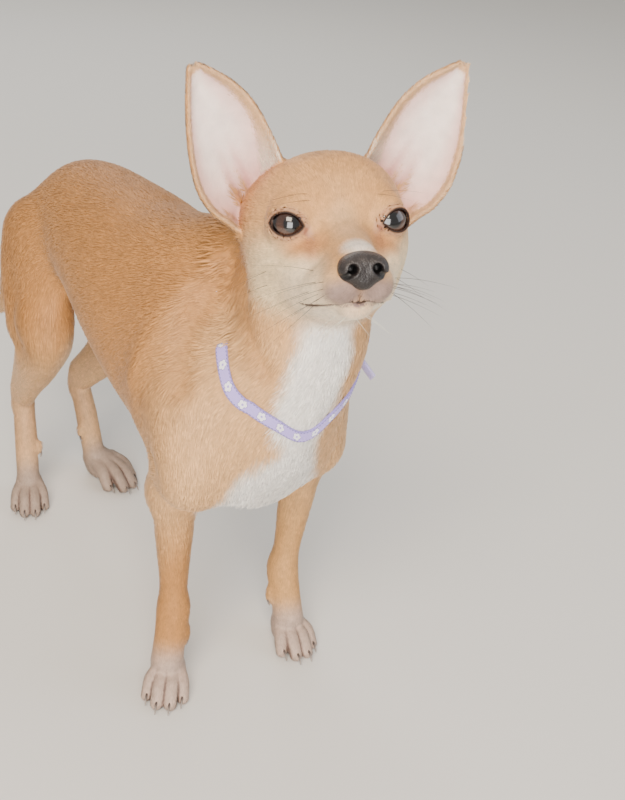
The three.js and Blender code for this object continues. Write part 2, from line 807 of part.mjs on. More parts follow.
// Nose: a rounded pad, narrower below, with two nostrils
function makeNose() {
  const geometry = new THREE.SphereGeometry(1, 14, 10);
  const { position } = geometry.attributes;
  const [halfX, halfY, halfZ] = NOSE.half;
  for (let i = 0; i < position.count; i++) {
    const z = position.getZ(i);
    const taper = 1 + 0.16 * z;
    const square = 1 + 0.14 * Math.abs(position.getX(i) * z);
    position.setXYZ(i, position.getX(i) * halfX * taper * square, position.getY(i) * halfY, z * halfZ * square);
  }
  geometry.translate(...NOSE.centre).applyMatrix4(headFrame);
  let nose = solidOf(geometry).subtract(headRoom);
  for (const side of SIDES) {
    const [x, y, z] = NOSE.nostril;
    const hole = ball(NOSE.nostrilRadius, [side * x, y, z], 8, 6).applyMatrix4(headFrame);
    nose = nose.subtract(solidOf(hole));
  }
  return nose;
}
solids.nose = makeNose();

// Ears: a thin cupped sheet between the inner and the outer edge, open to the front
function makeEar(side) {
  const across = 6;
  const along = 10;
  const inner = new THREE.CatmullRomCurve3(EAR.inner.map(vector), false, "catmullrom", 0.5);
  const outer = new THREE.CatmullRomCurve3(EAR.outer.map(vector), false, "catmullrom", 0.5);
  const sheet = (u, v, lift) => {
    const a = inner.getPoint(v);
    const b = outer.getPoint(v);
    const deep = (EAR.hollow * (1 - v) ** 1.2 + 4) * Math.min(1, (1 - v) * 6 + 0.25);
    const bow = deep * (1 - (2 * u - 1) ** 2) ** 0.8 + lift;
    const p = a.lerp(b, u);
    return new THREE.Vector3(side * (p.x + 0.12 * bow), p.y + 0.99 * bow, p.z);
  };
  const places = [];
  const layers = [-0.5, 0.5].map((half) => {
    const rows = [];
    for (let j = 0; j <= along; j++) {
      const row = [];
      for (let i = 0; i <= across; i++) {
        row.push(places.length);
        places.push(sheet(i / across, j / along, half * EAR.thickness).applyMatrix4(headFrame));
      }
      rows.push(row);
    }
    return rows;
  });
  const faces = [];
  const addQuad = (a, b, c, d) => {
    const quad = side === LEFT ? [a, b, c, d] : [d, c, b, a];
    faces.push([quad[0], quad[1], quad[2]], [quad[0], quad[2], quad[3]]);
  };
  const [front, back] = layers;
  for (let j = 0; j < along; j++) {
    for (let i = 0; i < across; i++) {
      addQuad(front[j][i], front[j][i + 1], front[j + 1][i + 1], front[j + 1][i]);
      addQuad(back[j][i], back[j + 1][i], back[j + 1][i + 1], back[j][i + 1]);
    }
    addQuad(front[j][0], front[j + 1][0], back[j + 1][0], back[j][0]);
    addQuad(front[j][across], back[j][across], back[j + 1][across], front[j + 1][across]);
  }
  for (let i = 0; i < across; i++) {
    addQuad(front[0][i], back[0][i], back[0][i + 1], front[0][i + 1]);
    addQuad(front[along][i], front[along][i + 1], back[along][i + 1], back[along][i]);
  }
  return solidOf(geometryOf(places, faces)).subtract(headRoom);
}
for (const side of SIDES) solids[`ear_${sideName[side]}`] = makeEar(side);

// Claws: short curved horns out of the toe tips and above the paws
function makeHorn(points, radii, sides = 6) {
  const path = new THREE.CatmullRomCurve3(points, false, "catmullrom", 0.5);
  const rings = 3;
  const places = [];
  const faces = [];
  const reference = new THREE.Vector3(1, 0, 0);
  for (let j = 0; j <= rings; j++) {
    const t = j / rings;
    const centre = path.getPoint(t);
    const tangent = path.getTangent(t);
    const across = new THREE.Vector3().crossVectors(tangent, reference).normalize();
    const other = new THREE.Vector3().crossVectors(tangent, across);
    const radius = radii[0] + (radii[1] - radii[0]) * t;
    for (let i = 0; i < sides; i++) {
      const angle = (2 * Math.PI * i) / sides;
      const offset = across.clone().multiplyScalar(radius * Math.cos(angle));
      offset.addScaledVector(other, radius * Math.sin(angle));
      places.push(centre.clone().add(offset));
    }
  }
  const start = places.push(path.getPoint(0)) - 1;
  const end = places.push(path.getPoint(1)) - 1;
  for (let i = 0; i < sides; i++) {
    const next = (i + 1) % sides;
    for (let j = 0; j < rings; j++) {
      const [a, b] = [j * sides + i, j * sides + next];
      faces.push([a, b, b + sides], [a, b + sides, a + sides]);
    }
    faces.push([start, next, i], [end, rings * sides + i, rings * sides + next]);
  }
  return solidOf(geometryOf(places, faces));
}

const CLAW = { reach: 5.4, drop: 3.2, root: 1.35, tip: 0.45 };
const toeName = ["inner", "mid_inner", "mid_outer", "outer"];

function makeClaws(foot, stretch, side, limb) {
  const { size } = foot;
  const frame = frameOf(foot.paw, [AXIS_Z, foot.yaw]);
  const paw = grown(solids[`${limb}paw_${sideName[side]}`], GAP);
  TOES.forEach(({ x, tip, radius }, n) => {
    const front = (tip * stretch - 0.9 * radius) * size;
    const line = [[front + 3, 4.4], [front - 1, 4.2], [front - CLAW.reach + 2, 4.4 - CLAW.drop]];
    const points = line.map(([y, z]) => new THREE.Vector3(x * TOE_SPREAD * size, y, z).applyMatrix4(frame));
    const name = side === LEFT ? toeName[n] : toeName[3 - n];
    solids[`claw_${limb}_${sideName[side]}_${name}`] = makeHorn(points, [CLAW.root, CLAW.tip]).subtract(paw);
  });
}

function makeDewclaw(place, yaw, side, limb, out) {
  const frame = frameOf(place, [AXIS_Z, yaw]);
  const line = [[out - 1, -1, -2], [out + 1, -2.4, -4.8], [out + 0.7, -3.8, -7.2]];
  const points = line.map(([x, y, z]) => new THREE.Vector3(-side * x, y, z).applyMatrix4(frame));
  let claw = makeHorn(points, [CLAW.root * 0.85, CLAW.tip]);
  for (const neighbour of [`${limb}paw`, limb === "fore" ? "forearm" : "hock"]) {
    claw = claw.subtract(grown(solids[`${neighbour}_${sideName[side]}`], GAP));
  }
  solids[`dewclaw_${limb}_${sideName[side]}`] = claw;
}

for (const side of SIDES) {
  const fore = FORELEG[side];
  const hind = HINDLEG[side];
  makeClaws(fore, FORE_PAW_LENGTH, side, "fore");
  makeClaws(hind, HIND_PAW_LENGTH, side, "hind");
  makeDewclaw(shifted(fore.wrist, 0, 0, -13), fore.yaw, side, "fore", 8.4);
  makeDewclaw(between(hind.hock, hind.ankle, 0.6), hind.yaw, side, "hind", 8);
}

// Collar: its line is where the leaning plane meets the neck

function neckRadius(angle, up) {
  const direction = new THREE.Vector3(Math.cos(angle), Math.sin(angle), 0).transformDirection(collarFrame);
  const middle = new THREE.Vector3(0, 0, up).applyMatrix4(collarFrame);
  let inside = 5;
  let outside = 70;
  for (let step = 0; step < 20; step++) {
    const radius = (inside + outside) / 2;
    if (fieldAt(middle.clone().addScaledVector(direction, radius)) < 0) inside = radius;
    else outside = radius;
  }
  return outside;
}

function collarSag(angle) {
  const away = (THREE.MathUtils.radToDeg(angle) - COLLAR.sagAt) / COLLAR.sagSpread;
  return -COLLAR.sag * Math.exp(-away * away);
}

// A point on the band: angle round the neck, how far out from the neck, how far up from the band's middle
function onCollar(angle, out, up) {
  const edge = COLLAR.width / 2;
  const sag = collarSag(angle);
  const low = neckRadius(angle, sag - edge);
  const high = neckRadius(angle, sag + edge);
  const radius = THREE.MathUtils.lerp(low, high, (up + edge) / (2 * edge)) + COLLAR.stand + out;
  return new THREE.Vector3(radius * Math.cos(angle), radius * Math.sin(angle), sag + up).applyMatrix4(collarFrame);
}

function makeCollar() {
  const { steps, thickness, width } = COLLAR;
  const section = [[0, -width / 2], [thickness, -width / 2], [thickness, width / 2], [0, width / 2]];
  const places = [];
  const faces = [];
  for (let i = 0; i < steps; i++) {
    const angle = -Math.PI + (2 * Math.PI * i) / steps;
    for (const [out, up] of section) places.push(onCollar(angle, out, up));
  }
  for (let i = 0; i < steps; i++) {
    const next = ((i + 1) % steps) * 4;
    for (let c = 0; c < 4; c++) {
      const [a, b] = [i * 4 + c, i * 4 + ((c + 1) % 4)];
      const [d, e] = [next + c, next + ((c + 1) % 4)];
      faces.push([a, d, e], [a, e, b]);
    }
  }
  return solidOf(geometryOf(places, faces));
}

// Axes on the outside of the band: x along it, y out of the neck, z up
function collarPlace(degrees, out) {
  const angle = radians(degrees);
  const origin = onCollar(angle, COLLAR.thickness + out, 0);
  const along = onCollar(angle + 0.05, 0, 0).sub(onCollar(angle - 0.05, 0, 0)).normalize();
  const up = onCollar(angle, 0, 1).sub(onCollar(angle, 0, -1)).normalize();
  const outward = new THREE.Vector3().crossVectors(along, up).normalize();
  const frame = new THREE.Matrix4().makeBasis(along, outward, new THREE.Vector3().crossVectors(along, outward));
  return frame.setPosition(origin);
}

function makeBuckle() {
  const { length, width, thickness, corner } = BUCKLE;
  const outline = new THREE.Shape();
  const [x, z] = [length / 2 - corner, width / 2 - corner];
  outline.absarc(x, z, corner, 0, Math.PI / 2);
  outline.absarc(-x, z, corner, Math.PI / 2, Math.PI);
  outline.absarc(-x, -z, corner, Math.PI, 1.5 * Math.PI);
  outline.absarc(x, -z, corner, 1.5 * Math.PI, 2 * Math.PI);
  const geometry = new THREE.ExtrudeGeometry(outline, { depth: thickness, bevelEnabled: false, curveSegments: 3 });
  geometry.rotateX(Math.PI / 2).translate(0, thickness, 0);
  return solidOf(geometry.applyMatrix4(collarPlace(COLLAR.buckleAt, 0.9)));
}

// The strap's free end, standing off the band in front of the buckle
function makeTab() {
  const { length, width, thickness, lift } = TAB;
  const geometry = new THREE.BoxGeometry(length, thickness, width, 3, 1, 1);
  geometry.translate(-length / 2, thickness / 2, 0).rotateZ(radians(-lift));
  return solidOf(geometry.applyMatrix4(collarPlace(COLLAR.tabAt, GAP + 0.3)));
}

solids.collar = makeCollar().subtract(grown(solids.neck, GAP));
solids.collar_buckle = makeBuckle();
solids.collar_tab = makeTab();

// Colours as seen on the dog

const FAWN = 0xc38f5f;
const CREAM = 0xe0bd94;
const WHITE = 0xe9e0d8;
const looks = [
  [/^(head|trunk|thigh|tail)/, { color: FAWN, roughness: 0.85 }],
  [/^(neck|forearm|hock)/, { color: CREAM, roughness: 0.85 }],
  [/paw/, { color: WHITE, roughness: 0.85 }],
  [/^ear/, { color: 0xd9a98c, roughness: 0.8 }],
  [/^eye/, { color: 0x1d1210, roughness: 0.08 }],
  [/^nose/, { color: 0x2f2c30, roughness: 0.45 }],
  [/claw/, { color: 0x4a423f, roughness: 0.5 }],
  [/^collar(_tab)?$/, { color: 0x9c8ecf, roughness: 0.7 }],
  [/^collar_buckle$/, { color: 0xcfc8ec, roughness: 0.35 }],
];

function materialFor(name) {
  const [, settings] = looks.find(([pattern]) => pattern.test(name));
  return new THREE.MeshStandardMaterial({ metalness: 0, flatShading: true, ...settings });
}

// The group: every piece in place, the whole centred over the origin

const group = new THREE.Group();
for (const [name, solid] of Object.entries(solids)) {
  const mesh = new THREE.Mesh(geometryFrom(solid), materialFor(name));
  mesh.name = name;
  group.add(mesh);
}
const extent = new THREE.Box3().setFromObject(group);
const centre = extent.getCenter(new THREE.Vector3());
group.position.set(-centre.x, -centre.y, -extent.min.z);
group.updateMatrixWorld(true);

export default group;
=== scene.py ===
"""A life-size standing chihuahua: skin, coat, eyes, nose, claws, whiskers and a narrow lilac collar.

Shapes are worked out in millimetres in the body's own frame, where the dog faces -Y and +X is its left,
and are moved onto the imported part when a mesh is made.
"""

import math

import bpy
import numpy as np
from mathutils import Matrix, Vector
from mathutils.bvhtree import BVHTree


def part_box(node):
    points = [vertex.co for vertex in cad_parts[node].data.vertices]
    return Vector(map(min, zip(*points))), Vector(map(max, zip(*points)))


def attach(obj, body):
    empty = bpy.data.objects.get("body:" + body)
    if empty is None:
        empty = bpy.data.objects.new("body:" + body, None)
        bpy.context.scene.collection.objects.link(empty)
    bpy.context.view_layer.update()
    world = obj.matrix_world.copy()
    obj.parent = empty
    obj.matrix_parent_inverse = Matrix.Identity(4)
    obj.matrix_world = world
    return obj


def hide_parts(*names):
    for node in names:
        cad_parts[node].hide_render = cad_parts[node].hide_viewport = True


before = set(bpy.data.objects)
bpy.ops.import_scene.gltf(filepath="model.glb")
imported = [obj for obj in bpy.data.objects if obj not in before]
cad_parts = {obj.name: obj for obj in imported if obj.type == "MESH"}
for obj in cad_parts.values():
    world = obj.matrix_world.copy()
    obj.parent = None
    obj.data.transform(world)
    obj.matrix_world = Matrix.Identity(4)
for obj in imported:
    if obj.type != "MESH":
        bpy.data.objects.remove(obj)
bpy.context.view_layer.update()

LEFT = 1
RIGHT = -1
SIDES = (RIGHT, LEFT)
SIDE_NAME = {LEFT: "left", RIGHT: "right"}
MM = 0.001
rng = np.random.default_rng(20)

# Driving sizes of the body, in millimetres, as in the solids

HEAD = {"origin": (7.3, -116.9, 246.8), "yaw": -24.1, "pitch": 21.0, "roll": -2.8}

# Trunk sections from chest to rump: place along the body, height of the middle, half width, half height
TRUNK = [
    (-92, 142, 30, 34), (-80, 145, 36, 42), (-64, 152, 39.5, 50), (-45, 155, 41, 53),
    (-15, 162, 41.5, 50), (15, 170.5, 39.5, 44.5), (45, 178.5, 35, 36.5), (72, 180.5, 30.5, 33.5),
    (92, 176, 27.5, 32), (108, 167, 23, 27), (120, 161, 16, 19), (127, 158, 8, 8),
]
FORELEG = {
    RIGHT: {"elbow": (-31.5, -68, 107), "wrist": (-31, -71, 43), "ankle": (-35, -74, 15),
            "paw": (-36, -77, 0), "yaw": -38, "size": 0.93},
    LEFT: {"elbow": (42.5, -66, 105), "wrist": (34, -69, 41), "ankle": (35, -76, 15),
           "paw": (35, -78, 0), "yaw": -8, "size": 0.93},
}
HINDLEG = {
    RIGHT: {"hip": (-20, 94, 176), "stifle": (-28, 70, 116), "hock": (-22, 117, 59), "ankle": (-25, 107, 15),
            "paw": (-26, 103, 0), "yaw": -24, "size": 0.9},
    LEFT: {"hip": (20, 94, 176), "stifle": (28, 72, 112), "hock": (18.5, 126, 56), "ankle": (20, 111, 15),
           "paw": (24.5, 105, 0), "yaw": 14, "size": 1.04},
}
FORE_PAW_LENGTH = 1
HIND_PAW_LENGTH = 1.25

# Toes of a paw of size 1: sideways place, root, tip and radius
TOES = [(-7.6, 1, -10, 3.7), (-2.8, -1, -15.5, 3.9), (2.8, -1, -15.5, 3.9), (7.6, 1, -10, 3.7)]
TOE_SPREAD = 1.2

EYE = {"centre": (19.2, 3.6, 0), "radius": 8.3, "outward": 22.8, "slant": 9, "width": 12.8, "opening": 8.2,
       "gaze": 7}
EAR_INNER = [(13, 25, 17), (18.4, 21.7, 26.5), (22.5, 19, 34.5), (29.3, 14, 45.5), (37.3, 10.2, 53),
             (46, 7, 57.5), (50.5, 5.6, 59.3)]
EAR_OUTER = [(29, 30, -8), (38, 26.2, 0), (45.2, 22.8, 5.2), (51.2, 18.8, 14), (54.3, 14, 27), (55.2, 10, 41),
             (54.9, 5.4, 57.8)]
EAR_HOLLOW = 13
EAR_SKIN = 1.65
NOSE_TIP = (0, -31, -15)
COLLAR = {"centre": (3.8, -87.8, 185.4), "normal": (-0.08, -0.71, 0.7), "width": 5.6, "thickness": 1.3,
          "stand": -0.9, "sag": 5, "sag_at": -93, "sag_spread": 15, "sunk_by": 5.5}
CLAW = {"reach": 5.4, "drop": 3.4, "root": 1.15, "tip": 0.35}

# The photograph's camera, found from the paws, back line, ears and eyes; its long side is 800 pixels
CAMERA = {"azimuth": -39.1, "elevation": 28.5, "roll": 6.1, "place": (-266.1, -447.9, 401.4),
          "focal_px": 1175.7}
PHOTO_LONG_SIDE = 800
SENSOR_MM = 36


# Small helpers

def unit(v):
    """Rows of v, or one vector, at length 1."""
    v = np.asarray(v, float)
    return v / np.maximum(np.linalg.norm(v, axis=-1, keepdims=True), 1e-9)


def smooth_step(low, high, x):
    t = np.clip((x - low) / (high - low), 0, 1)
    return t * t * (3 - 2 * t)


def swell(x, middle, width):
    """1 where x is at the middle, dying away softly on both sides."""
    return np.exp(-((x - middle) / width) ** 2)


def lerp(a, b, t):
    return np.asarray(a, float) + (np.asarray(b, float) - np.asarray(a, float)) * t


def offset(p, dx, dy, dz):
    return (p[0] + dx, p[1] + dy, p[2] + dz)


def turn(axis, degrees):
    """A 3 by 3 turn about the x, y or z axis."""
    return np.array(Matrix.Rotation(math.radians(degrees), 3, axis))


class Place:
    """A place to build in: an origin and turned axes."""

    def __init__(self, origin=(0, 0, 0), axes=None):
        self.origin = np.array(origin, float)
        self.axes = np.eye(3) if axes is None else axes

    def inside(self, points):
        """Places in the body's frame, seen from here."""
        return (np.asarray(points, float) - self.origin) @ self.axes

    def outside(self, points):
        """Places seen from here, in the body's frame."""
        return np.asarray(points, float) @ self.axes.T + self.origin

    def at(self, origin, axes=None):
        """A place inside this one."""
        local = np.eye(3) if axes is None else axes
        return Place(self.outside(origin), self.axes @ local)


WORLD = Place()
head_axes = turn("Z", HEAD["yaw"]) @ turn("X", -HEAD["pitch"]) @ turn("Y", HEAD["roll"])
head_place = Place(HEAD["origin"], head_axes)
EYE_REACH = 14
eye_place = {}
for side in SIDES:
    x, y, z = EYE["centre"]
    looking = turn("Z", side * EYE["outward"]) @ turn("Y", -side * EYE["slant"])
    eye_place[side] = head_place.at((side * x, y, z), looking)



def near_eye(points, side):
    return np.linalg.norm(points - eye_place[side].origin, axis=1) < EYE_REACH


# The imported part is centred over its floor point, so its eyes tell how far it has been moved
eye_middles = [np.array(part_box(f"eye_{SIDE_NAME[side]}")).mean(axis=0) / MM for side in SIDES]
SHIFT = np.mean(eye_middles, axis=0) - np.mean([eye_place[side].origin for side in SIDES], axis=0)
SHIFT[2] = 0


def add_object(name, data):
    """A new object in the scene."""
    made = bpy.data.objects.new(name, data)
    bpy.context.scene.collection.objects.link(made)
    return made


# The camera

def add_camera():
    """The photograph's camera, with its own x axis to the right of the picture."""
    azimuth, elevation, roll = (math.radians(CAMERA[key]) for key in ("azimuth", "elevation", "roll"))
    back = np.array([math.sin(azimuth) * math.cos(elevation), -math.cos(azimuth) * math.cos(elevation),
                     math.sin(elevation)])
    right = np.array([math.cos(azimuth), math.sin(azimuth), 0])
    up = np.cross(back, right)
    right, up = (math.cos(roll) * right + math.sin(roll) * up, -math.sin(roll) * right + math.cos(roll) * up)
    data = bpy.data.cameras.new("camera")
    data.sensor_width = SENSOR_MM
    data.lens = CAMERA["focal_px"] * SENSOR_MM / PHOTO_LONG_SIDE
    camera = add_object("camera", data)
    matrix = Matrix.Identity(4)
    place = (np.array(CAMERA["place"]) + SHIFT) * MM
    for row in range(3):
        matrix[row][0], matrix[row][1], matrix[row][2] = right[row], up[row], back[row]
        matrix[row][3] = place[row]
    camera.matrix_world = matrix
    bpy.context.scene.camera = camera


add_camera()


# Lumps: each knows how far points lie outside it, how softly it runs into the others, and how hair lies on it

FAR = 60.0
LUMPS = []


def within(points, low, high):
    """The numbers of the points inside a box."""
    return np.flatnonzero(((points > low) & (points < high)).all(axis=1))


def add_lump(place, blend, corners, reach, distance, lie, region):
    """Keeps a lump, with the box outside which it has no say."""
    corners = place.outside(corners)
    LUMPS.append({
        "low": corners.min(axis=0) - reach - blend - 2, "high": corners.max(axis=0) + reach + blend + 2,
        "place": place, "blend": blend, "distance": distance, "lie": lie, "region": region,
    })


def away_from_nose(points):
    """The lie of the hair on the head: back from the tip of the nose."""
    return unit(points - head_place.outside(NOSE_TIP))


def steady(direction):
    """A lie of hair that is the same everywhere."""
    return lambda points: np.broadcast_to(unit(direction), points.shape)


def add_ball(centre, radii, blend, region, lie, place=WORLD, lean_x=0, lean_y=0):
    """An egg shape with three half sizes, turned about its own x and y axes."""
    own = place.at(centre, turn("X", lean_x) @ turn("Y", lean_y))
    radii = np.array(radii, float)

    def distance(p):
        scaled = np.linalg.norm(p / radii, axis=-1)
        slope = np.linalg.norm(p / radii ** 2, axis=-1)
        return scaled * (scaled - 1) / np.maximum(slope, 1e-6)

    add_lump(own, blend, np.zeros((1, 3)), radii.max(), distance, lie, region)


def spline(stations, finer):
    """Points of a Catmull-Rom curve through the stations, which may carry a radius."""
    stations = np.array(stations, float)
    slopes = np.gradient(stations, axis=0)
    t = np.arange(finer)[:, None] / finer
    parts = []
    for i in range(len(stations) - 1):
        parts.append(
            (2 * t ** 3 - 3 * t ** 2 + 1) * stations[i] + (t ** 3 - 2 * t ** 2 + t) * slopes[i]
            + (3 * t ** 2 - 2 * t ** 3) * stations[i + 1] + (t ** 3 - t ** 2) * slopes[i + 1]
        )
    return np.concatenate([*parts, stations[-1:]])


def add_limb(stations, blend, region, place=WORLD, squash=1.0, finer=7, lie=None):
    """A round limb along a smooth path; every station is x, y, z, radius. Hair runs down the path."""
    path = spline(stations, finer)
    start = path[:-1, :3]
    along = np.diff(path[:, :3], axis=0)
    radius = path[:-1, 3]
    growth = np.diff(path[:, 3])
    square = (along ** 2).sum(axis=1)

    def nearest_bone(p):
        best = np.full(p.shape[:-1], 1e9)
        bone = np.zeros(p.shape[:-1], int)
        for i in range(len(start)):
            d = p - start[i]
            t = np.clip(d @ along[i] / square[i], 0, 1)
            d = d - t[..., None] * along[i]
            d[..., 0] /= squash
            far = np.sqrt((d * d).sum(axis=-1)) - radius[i] - growth[i] * t
            bone = np.where(far < best, i, bone)
            best = np.minimum(far, best)
        return best, bone

    def down_the_path(points):
        return unit(along[nearest_bone(place.inside(points))[1]]) @ place.axes.T

    corners = np.array(stations, float)[:, :3]
    reach = max(s[3] for s in stations) + 1
    add_lump(place, blend, corners, reach, lambda p: nearest_bone(p)[0], lie or down_the_path, region)


def add_trunk(blend):
    """The barrel of the trunk: oval sections set one behind another."""
    table = np.array(TRUNK, float)
    ys = table[:, 0]
    slopes = np.array([(table[min(j + 1, len(ys) - 1)] - table[max(j - 1, 0)])
                       / (ys[min(j + 1, len(ys) - 1)] - ys[max(j - 1, 0)]) for j in range(len(ys))])

    def section(y):
        i = np.clip(np.searchsorted(ys, y) - 1, 0, len(ys) - 2)
        length = ys[i + 1] - ys[i]
        t = ((y - ys[i]) / length)[..., None]
        bend = t * (1 - t) ** 2 * slopes[i] - t ** 2 * (1 - t) * slopes[i + 1]
        return table[i] + (table[i + 1] - table[i]) * t * t * (3 - 2 * t) + bend * length[..., None]

    def distance(p):
        y = np.clip(p[..., 1], ys[0], ys[-1])
        _, middle, width, height = np.moveaxis(section(y), -1, 0)
        x = p[..., 0]
        up = p[..., 2] - middle
        scaled = np.hypot(x / width, up / height)
        slope = np.hypot(x / width ** 2, up / height ** 2)
        across = np.maximum(scaled * (scaled - 1) / np.maximum(slope, 1e-6), -np.minimum(width, height))
        beyond = p[..., 1] - y
        return np.where(beyond == 0, across, np.hypot(np.maximum(across, 0), beyond))

    def back_and_down(points):
        lie = np.zeros_like(points)
        lie[:, 1] = 1
        lie[:, 2] = -0.65 * np.clip(np.abs(points[:, 0]) / 36, 0, 1)
        return unit(lie)

    corners = [(side * w, y, z + side * h) for y, z, w, h in TRUNK for side in SIDES]
    add_lump(WORLD, blend, np.array(corners, float), 0, distance, back_and_down, "trunk")


def add_paw(foot, stretch, region):
    """A paw: a rounded top, four toes bent down to the floor, and the pad's bulk under them."""
    size = foot["size"]
    place = Place(foot["paw"], turn("Z", foot["yaw"]))
    forward = steady(place.axes @ (0, -1, -0.5))
    longer = np.array((1, stretch, 1)) * size
    add_ball((0, 3, 9.5) * longer, (8.8, 9.5, 7.6) * longer, 4, region, forward, place)
    for x, root, tip, radius in TOES:
        stations = np.array([
            (x * 0.75, root, 12, radius * 0.95),
            (x * 1.05, (root + tip) / 2 - 1, 9.4, radius * 1.02),
            (x * TOE_SPREAD, tip, 3.3, radius * 0.93),
        ]) * (*longer, size)
        add_limb(stations, 1.1, region, place)
    add_ball((0, 2, 5) * longer, (8.2, 8.5, 6) * longer, 3, region, forward, place)


def add_foreleg(side):
    leg = FORELEG[side]
    elbow, wrist, ankle = leg["elbow"], leg["wrist"], leg["ankle"]
    down = steady((0, 0.15, -1))
    add_ball((side * 28, -55, 160), (13, 22, 40), 12, "trunk", steady((0, 0.5, -1)),
             lean_x=-20, lean_y=side * -8)
    add_limb([
        (side * 30.5, -78, 152, 17), (side * 31.5, -84, 126, 16),
        (*offset(elbow, -side, -5, 12), 14), (*offset(elbow, 0, 1, 0), 11),
    ], 12, "trunk")
    add_limb([
        (*elbow, 11.3), (*lerp(elbow, wrist, 0.22), 10.3), (*lerp(elbow, wrist, 0.5), 8.7),
        (*lerp(elbow, wrist, 0.8), 7.2), (*wrist, 8.5), (*lerp(wrist, ankle, 0.5), 7.9), (*ankle, 8.2),
    ], 9, "forelegs", squash=0.95)
    add_ball(offset(elbow, 0, 7, 1), (5.6, 5.6, 5.6), 9, "forelegs", down)
    add_paw(leg, FORE_PAW_LENGTH, "forelegs")
    turned = Place(wrist, turn("Z", leg["yaw"]))
    add_ball((0, 7, -4), (3.8, 3.8, 3.8), 4, "forelegs", down, turned)
    add_ball((-side * 6.6, -1, -14), (2.0, 2.6, 5), 4, "forelegs", down, turned)


def add_hindleg(side):
    leg = HINDLEG[side]
    hip, stifle, hock, ankle = leg["hip"], leg["stifle"], leg["hock"], leg["ankle"]
    thigh = offset(lerp(hip, stifle, 0.5), side, 5, 2)
    add_ball(thigh, (13, 24, 41), 16, "trunk", steady((0, 0.45, -1)), lean_x=-24)
    add_limb([
        (*offset(hip, 0, 12, -8), 11.5), (*offset(hip, side * 3, 12, -28), 12.5),
        (*offset(hip, side * 5, 4, -50), 13.5), (*offset(stifle, side, 18, -8), 9.5),
        (*offset(hock, 0, 0, 12), 5.5),
    ], 12, "hindlegs")
    add_limb([
        (*offset(stifle, 0, 4, 14), 15), (*offset(stifle, 0, 1, 2), 13), (*lerp(stifle, hock, 0.3), 10.8),
        (*lerp(stifle, hock, 0.62), 7.8), (*lerp(stifle, hock, 0.85), 6.2), (*hock, 6.6),
        (*lerp(hock, ankle, 0.4), 6.9), (*lerp(hock, ankle, 0.7), 6.9), (*ankle, 6.8),
    ], 8, "hindlegs", squash=0.95)
    add_limb([
        (*offset(lerp(stifle, hock, 0.25), 0, 16, 16), 9), (*offset(lerp(stifle, hock, 0.62), 0, 9, 8), 5),
        (*offset(hock, 0, 5, 4), 4.2), (*offset(hock, 0, 5, -2), 4),
    ], 8, "hindlegs")
    add_paw(leg, HIND_PAW_LENGTH, "hindlegs")
    turned = Place(lerp(hock, ankle, 0.6), turn("Z", leg["yaw"]))
    add_ball((-side * 7, -1, 0), (2.4, 2.8, 4.6), 2.5, "hindlegs", steady((0, 0, -1)), turned)


def add_neck_and_tail():
    nape = head_place.outside((0, 42, -4))
    throat = head_place.outside((0, 30, -6))
    add_limb([(*throat, 25), (15, -92, 206, 28), (11.5, -91, 182, 30), (4, -76, 158, 33), (0, -58, 150, 34)],
             18, "neck")
    add_limb([(*nape, 20), (10, -62, 212, 20), (4, -44, 203, 22), (0, -16, 192, 21)], 16, "neck")
    add_limb([
        (0, 112, 176, 11), (-4, 130, 170, 8.8), (-9, 145, 151, 7.4), (-11, 155, 126, 6.2), (-10, 165, 104, 5),
        (-8, 178, 90, 3.4),
    ], 7, "tail")


def add_head():
    on_head = {"region": "head", "lie": away_from_nose, "place": head_place}
    add_ball((0, 30, 2), (34, 31, 25.5), 8, **on_head)
    add_ball((0, 15, 10), (25, 17, 17.5), 8, **on_head)
    lid = EYE["radius"] + 1.3
    for side in SIDES:
        add_ball((side * 20.5, 21, -10.5), (11.5, 19, 14.5), 9, **on_head)
        add_ball((side * 14, 5, 6), (10, 8, 8), 6, **on_head)
        add_ball((side * 13.5, 3, -15.5), (10.5, 12.5, 10.5), 7, **on_head)
        lip = [(side * 11, 4, -24, 10.3), (side * 9.5, -10, -23.5, 8.8), (side * 6.5, -22, -22.5, 7.2)]
        add_limb(lip, 4, **on_head)
        x, y, z = EYE["centre"]
        add_ball((side * x, y, z), (lid, lid, lid), 3, **on_head)
    add_limb([(0, 6, -8, 14), (0, -8, -12, 10.5), (0, -24, -15.5, 8.2)], 6, **on_head)
    add_limb([(0, 14, -27, 12.5), (0, -2, -29.5, 8.4), (0, -18.5, -30.8, 5.2)], 3, squash=1.3, **on_head)
    add_ball((0, 24, -24), (28, 21, 16), 9, **on_head)


add_trunk(10)
add_ball((4, -77, 142), (37, 33, 40), 14, "trunk", steady((0, 0.3, -1)))
for side in SIDES:
    add_hindleg(side)
for side in SIDES:
    add_foreleg(side)
add_neck_and_tail()
add_head()


# Fields: negative inside, positive outside, in millimetres

def joined(a, b, softness):
    """Both shapes together, with a soft seam."""
    overlap = np.maximum(softness - np.abs(a - b), 0)
    return np.minimum(a, b) - overlap * overlap / (4 * softness)


def carved(a, b, softness):
    """a with b taken out of it."""
    return -joined(-a, b, softness)


def body_field(points):
    """How far points lie outside the body's outline, out to the tips of the coat."""
    value = np.full(len(points), FAR)
    for lump in LUMPS:
        near = within(points, lump["low"], lump["high"])
        if len(near):
            d = lump["distance"](lump["place"].inside(points[near]))
            value[near] = joined(value[near], d, lump["blend"])
    return value


def coat_depth(points):
    """The thickness of the coat over the skin: thinnest on the muzzle, round the eyes and on the feet."""
    face = np.linalg.norm(head_place.inside(points) - (0, -10, -8), axis=1)
    depth = 0.35 + 0.85 * smooth_step(18, 62, face)
    return depth * (0.4 + 0.6 * smooth_step(14, 75, points[:, 2]))


# The collar's line: a leaning plane round the foot of the neck

